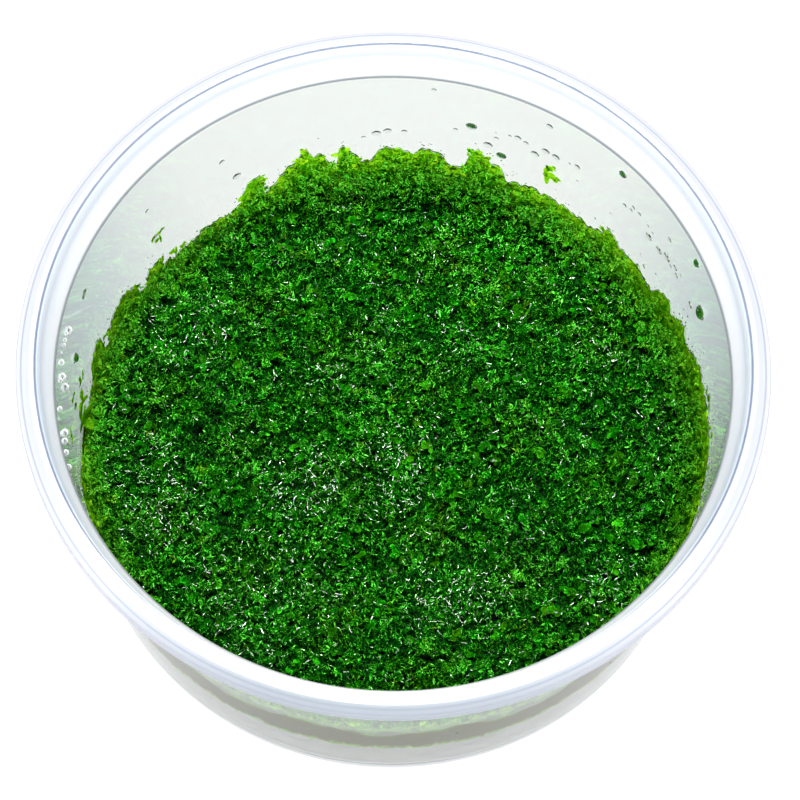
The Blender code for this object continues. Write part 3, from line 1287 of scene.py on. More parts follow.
@dataclass
class MossCarpet:
    """The fronds that make the top of the mat, in sectors, over a dark bed of old growth with painted shade.
    """

    mat: MatShape
    fronds: int = 9200
    sectors: int = 5
    bed_sink: float = 1.5 * MM
    bed_climb: float = 0.35
    bed_lift: float = 0.3 * MM
    bed_foot: float = 2.4 * MM
    bed_side: float = 1.9 * MM
    bed_slant: float = 0.2 * MM
    wall_gap: float = 0.9 * MM
    frond_gap: float = 0.6 * MM
    jitter: float = 0.22 * MM
    sink: float = 0.32 * MM
    tilt_deg: Pair = (34.0, 26.0)
    seed: int = 11
    habit: FrondHabit = FrondHabit(
        1.3 * MM, 0.26 * MM, 0.05 * MM, side_lobes=7, side_share=0.64, spread=0.36
    )
    rosettes: int = 150
    rosette_radius: float = 1.4 * MM
    rosettes_within: float = 42.0 * MM
    drift_waves: Table = ((1, 40, 13.0 * MM, 0), (1, 110, 9.0 * MM, 90))
    broad_waves: Table = ((0.5, 20, 21.0 * MM, 30), (0.5, 95, 17.0 * MM, 200))
    gold_waves: Table = ((0.6, 63, 19.0 * MM, 250), (0.5, 140, 14.0 * MM, 40))
    odd_share: float = 0.03
    odd_yellow: Pair = (0.1, 0.4)
    drift_turn: float = 1.6
    turn_jitter: float = 1.2
    roll_jitter: float = 0.45
    tilt_range_deg: Pair = (-10.0, 85.0)
    log_size: Pair = (-0.04, 0.18)
    size_range: Pair = (0.6, 1.5)
    tip_rise: float = 0.22
    rosette_sizes: Pair = (0.5, 1.3)
    rosette_firmness: float = 1.3
    rosette_lay_deg: float = 24.0
    rosette_growth: float = 0.35
    rosette_rise: float = 0.7
    rosette_fill: float = 0.5
    light: float = 0.50
    light_broad: float = 0.05
    light_jitter: float = 0.10
    light_rosette: float = 0.10
    light_edge: float = 0.18
    light_side: float = 0.07
    painted_hollow_shade: float = 0.24
    side_at: float = 40.0 * MM
    yellow_edge: float = 0.14
    yellow_rosette: float = 0.03
    yellow_gold: float = 0.07
    yellow_jitter: float = 0.015

    def build_bed(self, material: Material) -> Piece:
        """Makes the bed: the mat's form sunk below the tips, closed round its side and underneath.

        Args:
            material: The old growth.

        Returns:
            The bed.
        """
        mat = self.mat
        bottom = mat.gel_top + self.bed_lift
        rim = mat.cup.inner_radius(mat.top) - self.wall_gap
        inwards = rim * np.linspace(1.0, 0.0, 64)
        top = np.stack([inwards, np.full_like(inwards, mat.top)], -1)
        side = [(0.0, bottom), (rim - self.bed_foot, bottom), (rim - self.bed_slant, bottom + self.bed_side)]
        surface = turned(np.concatenate([side, top]), 200)
        x, y, z = surface.points.T
        spare = (1.0 - self.bed_climb) * mat.climb(np.arctan2(y, x)) * mat.edge_share(x, y) ** 3
        sunk = mat.height(x, y) - spare - self.bed_sink - mat.dimples(x, y)
        surface.points[:, 2] = np.where(z > mat.top - 1e-6, sunk, z)
        return surface.moss("moss_bed", material)

    def build_fronds(self, material: Material) -> list[Piece]:
        """Makes the fronds of the carpet.

        Frond i of n stands at radius R sqrt((i + 1/2) / n) and azimuth i times the golden angle, moved a
        little by chance. Its tip ends just under the mat's outer form.

        Args:
            material: The moss.

        Returns:
            One piece for each sector.
        """
        mat, count, chance = self.mat, self.fronds, np.random.default_rng(self.seed)
        wall = mat.cup.inner_radius(mat.top) - self.frond_gap
        order = np.arange(count) + 0.5
        radius = wall * np.sqrt(order / count)
        azimuth = order * GOLDEN_ANGLE
        x, y = radius * level(azimuth).T + chance.normal(0.0, self.jitter, (2, count))
        out = np.maximum(np.hypot(x, y) / wall, 1.0)
        x, y = x / out, y / out
        rosette = self._rosettes(x, y, chance)
        drift = waves(x, y, self.drift_waves)
        angle = self.drift_turn * drift + chance.normal(0.0, self.turn_jitter, count)
        tilt = chance.normal(*self.tilt_deg, count) - self.rosette_lay_deg * rosette
        tilt = np.radians(np.clip(tilt, *self.tilt_range_deg))
        heading, normal = tilted(angle, tilt)
        roll = chance.normal(0.0, self.roll_jitter, count)
        side = np.cross(normal, heading)
        normal = unit(normal * np.cos(roll)[:, None] + side * np.sin(roll)[:, None])
        size = np.exp(chance.normal(*self.log_size, count)) * (1.0 + self.rosette_growth * rosette)
        size = np.clip(size, *self.size_range)
        sink = np.abs(chance.normal(0.0, self.sink, count)) * (1.0 - self.rosette_rise * rosette)
        depth = sink + mat.dimples(x, y) * (1.0 - self.rosette_fill * rosette)
        rise = self.habit.length * size * (np.sin(tilt) + self.tip_rise)
        root = np.stack([x, y, mat.height(x, y) - depth - rise], -1)
        growth = self._growth(x, y, rosette, depth, chance)
        sector = (azimuth % math.tau / math.tau * self.sectors).astype(int)
        made = []
        for number in range(self.sectors):
            parts = [values[sector == number] for values in (root, heading, normal, size, growth)]
            made.append(self.habit.grow(*parts, chance).moss(f"moss_fronds_{number + 1}", material))
        return made

    def _rosettes(self, x: Array, y: Array, chance: Chance) -> Array:
        """How much each frond belongs to one of the broad light rosettes, from 0 to 1.

        Args:
            x: First coordinates.
            y: Second coordinates.
            chance: The source of the rosettes' places.

        Returns:
            The share of each frond.
        """
        centre = scattered(self.rosettes, self.rosettes_within, chance)
        span = self.rosette_radius * chance.uniform(*self.rosette_sizes, self.rosettes)
        away = np.hypot(x[:, None] - centre[:, 0], y[:, None] - centre[:, 1]) / span
        return np.clip(self.rosette_firmness * (1.0 - away), 0.0, 1.0).max(axis=1)

    def _growth(self, x: Array, y: Array, rosette: Array, depth: Array, chance: Chance) -> Array:
        """The tone of the carpet, lighter near the wall and in rosettes, with painted shade that darkens it
        in hollows.

        Args:
            x: First coordinate of each frond.
            y: Second coordinate.
            rosette: How much it belongs to a rosette.
            depth: How deep it stands under the mat's outer form.
            chance: The source of small irregularities.

        Returns:
            Lightness and yellowness of each frond.
        """
        count, edge = len(x), self.mat.edge_share(x, y)
        broad = waves(x, y, self.broad_waves)
        lightness = self.light + self.light_broad * broad + chance.normal(0.0, self.light_jitter, count)
        lightness = lightness + self.light_rosette * rosette + self.light_edge * edge**2
        # Painted shade: a frond is darker the deeper it stands under the mat's form; it is also lighter
        # towards the left and right
        lightness = lightness + self.light_side * (x / self.side_at) ** 2 - self.painted_hollow_shade * depth / MM
        odd = chance.random(count) < self.odd_share
        gold = waves(x, y, self.gold_waves)
        yellowness = self.yellow_edge * edge**2 + self.yellow_rosette * rosette
        yellowness = yellowness + self.yellow_gold * np.clip(gold, 0.0, 1.0)
        yellowness = yellowness + np.abs(chance.normal(0.0, self.yellow_jitter, count))
        return tones(lightness, yellowness + np.where(odd, chance.uniform(*self.odd_yellow, count), 0.0))


@dataclass
class BroadThalli:
    """The older, broader thalli that lie flat among the fronds, and show as smooth mid-green patches."""

    mat: MatShape
    count: int = 700
    wall_gap: float = 1.2 * MM
    depth: float = 0.45 * MM
    sink: float = 0.2 * MM
    sizes: Pair = (0.6, 1.2)
    tilts: Pair = (0.12, 0.22)
    in_dimples: float = 0.8
    light: Tone = Tone(0.50, 0.10, 0.09)
    yellow: Tone = Tone(0.0, 0.12, 0.05)
    seed: int = 31
    habit: FrondHabit = FrondHabit(
        1.5 * MM, 0.78 * MM, 0.06 * MM, side_lobes=3, angle_deg=46.0, side_share=0.62, curl=-0.2, bend=0.4,
        wander=0.2, spread=0.10, axis_rings=OVAL, lobe_rings=OVAL,
    )

    def build(self, material: Material) -> Piece:
        """Makes the thalli, nearly level and just under the mat's outer form.

        Args:
            material: Their finish.

        Returns:
            All the thalli.
        """
        mat, count, chance = self.mat, self.count, np.random.default_rng(self.seed)
        x, y = scattered(count, mat.cup.inner_radius(mat.top) - self.wall_gap, chance).T
        angle = chance.uniform(0.0, math.tau, count)
        tilt = chance.normal(*self.tilts, count)
        size = chance.uniform(*self.sizes, count)
        depth = self.depth + mat.dimples(x, y) * self.in_dimples
        depth = depth + np.abs(chance.normal(0.0, self.sink, count))
        root = np.stack([x, y, mat.height(x, y) - depth - self.habit.length * size * np.sin(tilt)], -1)
        share = mat.edge_share(x, y) ** 2
        lightness = self.light.at(share, chance)
        yellowness = np.abs(chance.normal(0.0, self.yellow.spread, count)) + self.yellow.change * share
        growth = tones(lightness, yellowness)
        surface = self.habit.grow(root, *tilted(angle, tilt), size, growth, chance)
        return surface.moss("moss_broad_thalli", material)


@dataclass
class WetLobes:
    """Lobes that lie almost level under a film of water and mirror the lamp.

    A lobe at p mirrors the lamp when its normal is the half-way direction between the camera and the lamp.
    Each normal here strays a little from that direction, so that about half of the lobes show a glint.
    """

    mat: MatShape
    camera: PhotoCamera
    lamp: Triple
    spread_out: int = 1300
    spread_within: float = 41.0 * MM
    metre_px: float = 0.132 * MM
    patch_lift: float = 0.5 * MM
    depth: float = 0.12 * MM
    sink: float = 0.15 * MM
    lengths: Pair = (0.3 * MM, 1.1 * MM)
    widths: Pair = (0.13 * MM, 0.24 * MM)
    in_patch: float = 0.062
    patch_reach: float = 1.1
    in_dimples: float = 0.75
    light: Pair = (0.2, 0.5)
    yellow_jitter: float = 0.04
    crowns: Pair = (0.05, 0.12)
    curl_jitter: float = 0.12
    bend_jitter: float = 1.3
    stray: float = 0.060
    seed: int = 41
    patches_px: Table = (
        (140, 470, 42, 1.3), (160, 505, 38, 1.0), (300, 480, 40, 1.9), (290, 500, 22, 1.2),
        (385, 480, 42, 1.1), (440, 590, 40, 1.5), (482, 596, 34, 1.6), (270, 590, 70, 0.9),
        (610, 580, 26, 1.2), (135, 315, 26, 1.0), (190, 325, 44, 0.9), (335, 376, 24, 1.2),
        (380, 335, 26, 0.9), (460, 338, 22, 1.4), (395, 440, 40, 0.9), (595, 345, 30, 0.7),
        (180, 545, 30, 0.7), (420, 420, 26, 0.5),
    )

    def _places(self, chance: Chance) -> Array:
        """Where the lobes lie, as points (x, y): some spread out evenly and the rest in the wet patches.

        Args:
            chance: The source of their places.

        Returns:
            The points.
        """
        loose = scattered(self.spread_out, self.spread_within, chance)
        table = np.array(self.patches_px)
        counts = (self.in_patch * table[:, 3] * table[:, 2] ** 2).astype(int)
        middles = self.camera.on_level(table[:, :2], self.mat.top + self.patch_lift)[:, :2]
        centre = np.repeat(middles, counts, axis=0)
        span = np.repeat(table[:, 2], counts) * self.metre_px
        around = chance.uniform(0.0, math.tau, len(span))
        away = span * np.sqrt(chance.random(len(span))) * self.patch_reach
        return np.concatenate([loose, centre + away[:, None] * level(around)])

    def build(self, material: Material) -> Piece:
        """Makes the wet lobes as narrow bent ribbons with a very low crown.

        Args:
            material: The wet moss.

        Returns:
            All the wet lobes.
        """
        mat, chance = self.mat, np.random.default_rng(self.seed)
        x, y = self._places(chance).T
        count = len(x)
        depth = self.depth + mat.dimples(x, y) * self.in_dimples
        depth = depth + np.abs(chance.normal(0.0, self.sink, count))
        root = np.stack([x, y, mat.height(x, y) - depth], -1)
        half_way = unit(unit(self.camera.spot() - root) + unit(np.array(self.lamp) - root))
        normal = unit(half_way + chance.normal(0.0, self.stray, (count, 3)))
        heading = square_to(polar(1.0, chance.uniform(0.0, math.tau, count), np.zeros(count)), normal)
        lightness = chance.uniform(*self.light, count)
        growth = np.stack([lightness, np.abs(chance.normal(0.0, self.yellow_jitter, count))], -1)
        width = chance.uniform(*self.widths, count)
        length = chance.uniform(*self.lengths, count)
        thickness = width * chance.uniform(*self.crowns, count)
        bent = (chance.normal(0.0, jitter, count) for jitter in (self.curl_jitter, self.bend_jitter))
        ribbons = Ribbons(root, heading, normal, length, width, thickness, *bent, growth, EVEN_OVAL)
        return ribbons.surface().moss("moss_wet_lobes", material)


@dataclass(frozen=True)
class Stand:
    """One kind of growth on the wall: how many fronds, how they branch, and how they vary.

    Its offsets are the least and the most distance from the wall, and its aims are a spread in radians or,
    for growth that hangs to both sides, the least and the most.
    """

    count: int
    habit: FrondHabit
    sizes: Pair
    offsets: Pair
    aims: Pair
    light: Tone
    yellow: Tone

    def tones(self, light_share: Array, yellow_share: Array, chance: Chance) -> Array:
        """Lightness and yellowness of each frond."""
        return tones(self.light.at(light_share, chance), self.yellow.at(yellow_share, chance))


@dataclass
class WallGrowth:
    """The moss against the wall: the mat's side, the slope that climbs, and what is pressed on the wall."""

    mat: MatShape
    film_low: float = 12.75 * MM
    film_short: float = 0.09 * MM
    film_steps: int = 1080
    film_rows: int = 13
    back_rows: int = 7
    bump_waves: Table = ((0.4, 15, 1.1 * MM, 0), (0.4, 75, 0.9 * MM, 70), (0.3, 130, 1.5 * MM, 150))
    back_waves: Table = ((0.5, 20, 4.4 * MM, 0), (0.5, 80, 5.2 * MM, 70), (0.4, 130, 3.6 * MM, 150))
    underside_rows: int = 9
    edge_ripples: Table = ((0.22, 97, 0), (0.18, 171, 1), (0.12, 263, 2))
    low_ripples: Table = ((0.22, 31, 0), (0.17, 67, 1), (0.13, 149, 2))
    stuck_ripples: Table = ((1.1, 14, 1.6), (0.28, 37, 0), (0.16, 83, 0))
    stuck_mean_mm: float = 20.5
    film_front_mm: float = 0.12
    film_belly_mm: float = 1.6
    film_belly_power: float = 1.4
    film_bumps_mm: float = 0.10
    film_least_mm: float = 0.10
    film_back_mm: Pair = (0.11, 0.05)
    film_light: Pair = (0.60, 0.05)
    film_light_bumps: float = 0.22
    film_yellow: Pair = (0.30, 0.07)
    film_yellow_bumps: float = 0.16
    film_edge: float = 0.25
    film_shade: float = 0.30
    shade_near: float = 1.6
    shade_deep: float = 1.4
    underside_light: float = 0.40
    underside_sway: float = 0.8
    underside_near: Pair = (0.4, 1.6)
    fringe_height: float = 0.6 * MM
    fringe_least: float = 0.4
    fringe_light: float = 0.10
    fringe_yellow: float = 0.7
    crest_height: float = 0.8 * MM
    crest_mean: float = 0.75
    crest_ripples: Table = ((0.4, 31, 1),)
    crest_painted_light: float = 0.30
    crest_yellow: float = 0.1
    side_rise_mm: float = 0.9
    side_dip_mm: float = 0.1
    slope_from: float = 0.04
    slope_over: float = 0.86
    slope_fill: float = 0.8
    slope_lean: float = 0.64
    seed: int = 23
    fragments_px: Table = (
        (543, 173, 1.6, 80), (548, 170, 1.0, 20), (159.5, 233, 1.0, 10), (161, 236, 0.8, -60),
        (81, 381, 1.0, -20), (82, 380, 0.8, 70), (72, 404, 1.0, 60), (76, 403, 0.8, -50),
        (79.5, 434, 3.2, 88), (80, 422, 2.2, 80), (72, 444, 1.3, 70), (645.5, 268.5, 0.35, -40),
        (89.8, 396, 1.5, 85), (706.5, 394, 0.8, 0), (708, 399, 0.9, 20), (709.5, 403, 0.7, -30),
        (709, 408, 0.8, 10), (710, 413, 0.7, -20), (710.5, 429, 0.6, 0), (711.5, 434, 0.8, 30),
        (712, 439, 0.6, -20), (708, 470, 0.7, 10), (177, 251, 1.0, -30), (181, 248, 0.9, 40),
    )
    side: Stand = Stand(
        600, FrondHabit(0.9 * MM, 0.22 * MM, 0.03 * MM, curl=0.0, spread=0.15),
        sizes=(0.7, 1.6), offsets=(-0.055 * MM, -0.035 * MM), aims=(0.9, 2.6),
        light=Tone(0.44, -0.10, 0.08), yellow=Tone(0.40, 0.20, 0.06),
    )
    slope: Stand = Stand(
        1700, FrondHabit(1.5 * MM, 0.36 * MM, 0.05 * MM, side_lobes=7, curl=0.15, spread=0.24),
        sizes=(0.65, 1.15), offsets=(0.05 * MM, 0.8 * MM), aims=(0.0, 0.8),
        light=Tone(0.57, 0.24, 0.10), yellow=Tone(0.03, 0.38, 0.05),
    )
    lobes: Stand = Stand(
        960, FrondHabit(
            1.35 * MM, 0.56 * MM, 0.04 * MM, side_lobes=6, side_share=0.50, curl=0.0, bend=0.5, wander=0.08,
            spread=0.18, axis_rings=BLUNT, lobe_rings=BLUNT,
        ),
        sizes=(0.55, 1.1), offsets=(0.16 * MM, 0.55 * MM), aims=(0.0, 0.95),
        light=Tone(0.82, -0.03, 0.16), yellow=Tone(0.48, -0.09, 0.19),
    )
    fragment_size: float = 1.25
    fragment_offset: float = 0.12 * MM
    stuck: float = 0.06 * MM
    slope_drop: float = 0.9 * MM
    least_climb: float = 0.6 * MM
    lean_climb: float = 2.0 * MM
    most_lean: float = 1.6
    lobes_down: float = 3.4 * MM
    lobes_stray: Pair = (-0.25 * MM, 0.35 * MM)
    underside_skin: Pair = (-0.03 * MM, 0.05 * MM)
    underside_ragged: float = 0.30 * MM
    underside_least: float = 0.5 * MM

    def cup_radius(self) -> float:
        """The wall's inner radius at the height of the mat's top."""
        return self.mat.cup.inner_radius(self.mat.top)

    def _grown(
        self, habit: FrondHabit, place: Sequence[Array], aim: Array, growth: Array, size: Array,
        chance: Chance, lean: Array | float = 0.0, nearest: float = 0.04 * MM
    ) -> Surface:
        """Fronds on a flat sheet that is rolled onto the wall.

        A point (u, v, n) of the sheet goes to azimuth -u / R, height v and n off the wall, with R the wall's
        radius at the mat's top.

        Args:
            habit: How they branch.
            place: The azimuth, height and distance from the wall of each root.
            aim: The direction that each grows in, in radians from straight up.
            growth: Lightness and yellowness.
            size: Each frond's size beside the habit's own.
            chance: The source of small irregularities.
            lean: How far each gets from the wall for each unit that it rises.
            nearest: The least distance from the wall, below zero where wet moss is stuck to it.

        Returns:
            The fronds on the wall.
        """
        count = len(aim)
        root = np.stack(place, -1) * np.array([-self.cup_radius(), 1.0, 1.0])
        heading = unit(np.stack([np.sin(aim), np.cos(aim), lean * np.cos(aim)], -1))
        tilt = chance.normal(0.0, habit.wander, (2, count))
        normal = square_to(np.stack([tilt[0], tilt[1] - lean, np.ones(count)], -1), heading)
        flat = habit.grow(root, heading, normal, size, growth, chance)
        u, v, n = flat.points.T
        points = self.mat.cup.near_wall(-u / self.cup_radius(), v, np.maximum(n, nearest))
        return Surface(points, flat.faces, flat.growth)

    def edge(self, turn: Array) -> Array:
        """The height that the moss climbs to at each azimuth, with small ragged lobes on it."""
        return self.mat.edge(turn) + ripples(turn, *self.edge_ripples) * MM

    def low_edge(self, turn: Array) -> Array:
        """The height of the moss's ragged lower edge on the wall at each azimuth."""
        return self.film_low + ripples(turn, *self.low_ripples) * MM

    def stuck_top(self, turn: Array) -> Array:
        """How high the moss is stuck flat to the wall on the near side, a wavy line."""
        return (self.stuck_mean_mm + ripples(turn, *self.stuck_ripples)) * MM

    def build_film(self, material: Material) -> Piece:
        """Makes the dense film of old thalli that closes the space between the mat and the wall.

        Row s from 0 to 1 stands at the height low + s (edge - low). Its front stands a little off the wall,
        and belly (1 - s)^power and some lumps more. Its back stands a - b s off, with (a, b) the back's fall.

        Args:
            material: The moss.

        Returns:
            The film, as one closed band round the wall.
        """
        turn, rows = circle(self.film_steps), self.film_rows
        s = np.concatenate([np.linspace(0.0, 1.0, rows), np.linspace(1.0, 0.0, self.back_rows)])[:, None]
        edge = self.edge(turn)
        high = edge - self.film_short * (1.0 + np.sin(turn * 211.0))
        v = self.film_low + s * (high - self.film_low)
        u = np.broadcast_to(turn * self.cup_radius(), v.shape)
        bumpy = waves(u, v, self.bump_waves)
        bumpy[rows:] = waves(u, v, self.back_waves)[rows:]
        off = self.film_front_mm + self.film_belly_mm * (1.0 - s) ** self.film_belly_power
        off = np.maximum(off + self.film_bumps_mm * bumpy * (1.0 - s**6), self.film_least_mm)
        off[rows:] = fallen(self.film_back_mm, s[rows:])
        surface = looped(self.mat.cup.near_wall(turn, v, off * MM))
        # Painted shade: on the near side the film is darker below its top
        depth = (edge - v) / MM
        near_side = np.clip(-np.sin(turn) * self.shade_near, 0.0, 1.0)
        shade = self.film_shade * near_side * np.clip(depth * self.shade_deep, 0.0, 1.0)
        lightness = fallen(self.film_light, depth) + self.film_light_bumps * bumpy - shade
        yellowness = fallen(self.film_yellow, depth) + self.film_yellow_bumps * bumpy
        surface.growth = tones(lightness, yellowness, self.film_edge).reshape(-1, 3)
        return surface.moss("moss_film", material)

    def build_underside(self, material: Material) -> Piece:
        """Makes the brown old growth that lies against the wall behind the film, dark partly as painted shade
        on the near side, with a painted light line along its top.

        Row s from 0 to 1 stands at low + s (top - low). The top is just under the edge on the near side, and
        just above the lower edge on the far side, where light comes through the moss.

        Args:
            material: The old growth.

        Returns:
            The underside, as one closed band round the wall.
        """
        turn = circle(self.film_steps)
        s = np.linspace(0.0, 1.0, self.underside_rows)[:, None]
        ragged = np.random.default_rng(self.seed + 7).normal(0.0, self.underside_ragged, self.film_steps)
        low = self.low_edge(turn) + self.underside_sway * (ragged + np.roll(ragged, 1))
        near_side = np.clip(fallen(self.underside_near, np.sin(turn)), 0.0, 1.0)
        least = low + self.underside_least
        top = least + near_side * (self.stuck_top(turn) - least)
        v = low + s * (top - low)
        off = np.repeat(self.underside_skin, self.underside_rows)[:, None]
        v = np.concatenate([v, v[::-1]])
        surface = looped(self.mat.cup.near_wall(turn, v, off))
        fringe = np.exp(-(((v - low) / self.fringe_height) ** 2))
        fringe = fringe * (self.fringe_least + np.abs(ragged) / self.underside_ragged)
        # Painted light: a lighter line along the top, where the lobes' edges catch the light
        crest = np.exp(-(((v - top) / self.crest_height) ** 2))
        crest = crest * (self.crest_mean + ripples(turn, *self.crest_ripples))
        lightness = self.underside_light + self.fringe_light * fringe + self.crest_painted_light * crest
        yellowness = self.fringe_yellow * fringe + self.crest_yellow * crest
        surface.growth = tones(lightness, yellowness, 0.0).reshape(-1, 3)
        return surface.moss("moss_underside", material)

    def build_fragments(self, camera: PhotoCamera, material: Material) -> Piece:
        """Makes the loose bits of moss that the photograph shows stuck on the wall above the edge.

        Args:
            camera: The camera, which carries their places to the wall.
            material: The moss.

        Returns:
            The loose bits.
        """
        table, chance = np.array(self.fragments_px), np.random.default_rng(self.seed + 3)
        count = len(table)
        growth = tones(chance.uniform(0.6, 0.85, count), chance.uniform(0.25, 0.6, count))
        place = (*camera.on_wall(table[:, :2], self.mat.cup), np.full(count, self.fragment_offset))
        habit, aim = replace(self.lobes.habit, side_lobes=5), np.radians(table[:, 3])
        surface = self._grown(habit, place, aim, growth, table[:, 2] * self.fragment_size, chance)
        return surface.moss("moss_fragments", material)

    def build_side(self, material: Material) -> Piece:
        """Makes the small lobes of the ragged lower edge, just above the gel.

        Args:
            material: The moss.

        Returns:
            The side's lobes.
        """
        side, count, chance = self.side, self.side.count, np.random.default_rng(self.seed)
        turn = np.arange(count) * GOLDEN_ANGLE % math.tau
        share = chance.random(count)
        low = self.low_edge(turn) + (self.side_rise_mm * share**2 - self.side_dip_mm) * MM
        place = (turn, low, chance.uniform(*side.offsets, count))
        aim = chance.uniform(*side.aims, count) * chance.choice([-1.0, 1.0], count)
        growth = side.tones(share, (1.0 - share) ** 3, chance)
        size = chance.uniform(*side.sizes, count)
        surface = self._grown(side.habit, place, aim, growth, size, chance, nearest=-self.stuck)
        return surface.moss("moss_side", material)

    def build_slope(self, material: Material) -> Piece:
        """Makes the fronds on the slope between the carpet and the wall.

        At a share s of the climb the slope stands 1 - s^(1/3) of the climbing band's width off the wall.

        Args:
            material: The moss.

        Returns:
            The slope's fronds.
        """
        mat, slope, chance = self.mat, self.slope, np.random.default_rng(self.seed + 1)
        count = slope.count
        turn = (np.arange(count) * GOLDEN_ANGLE + chance.normal(0.0, 0.01, count)) % math.tau
        share = self.slope_from + self.slope_over * chance.random(count)
        climb = np.maximum(self.edge(turn) - mat.top + mat.edge_drop, self.least_climb)
        band = self.cup_radius() - mat.climb_start
        step = np.cbrt(share)
        height = mat.top - mat.edge_drop + climb * share - self.slope_drop
        off = (1.0 - step) * band * self.slope_fill + chance.uniform(*slope.offsets, count)
        place = (turn, height, off)
        lean = -self.slope_lean * band / (3.0 * step**2 * np.maximum(climb, self.lean_climb))
        aim = chance.normal(*slope.aims, count)
        growth = slope.tones(share, share**2, chance)
        size = chance.uniform(*slope.sizes, count)
        lean = np.maximum(lean, -self.most_lean)
        surface = self._grown(slope.habit, place, aim, growth, size, chance, lean)
        return surface.moss("moss_slope", material)

    def build_lobes(self, material: Material) -> Piece:
        """Makes the broad yellow-green lobes pressed on the wall along the climbing edge.

        Args:
            material: The moss.

        Returns:
            The broad lobes.
        """
        lobes, count, chance = self.lobes, self.lobes.count, np.random.default_rng(self.seed + 2)
        turn = (np.arange(count) * GOLDEN_ANGLE + chance.normal(0.0, 0.02, count)) % math.tau
        offset = chance.uniform(*lobes.offsets, count)
        aim = chance.normal(*lobes.aims, count)
        size = chance.uniform(*lobes.sizes, count)
        rise = np.maximum(np.cos(aim), 0.3) * lobes.habit.length * size
        depth = self.lobes_down * np.maximum(1.5 * chance.random(count) - 0.5, 0.0) ** 1.1
        depth = depth + chance.uniform(*self.lobes_stray, count)
        place = (turn, self.edge(turn) - rise - depth, offset)
        growth = lobes.tones(depth / MM, depth / MM, chance)
        surface = self._grown(lobes.habit, place, aim, growth, size, chance)
        return surface.moss("moss_wall_lobes", material)


# Drops


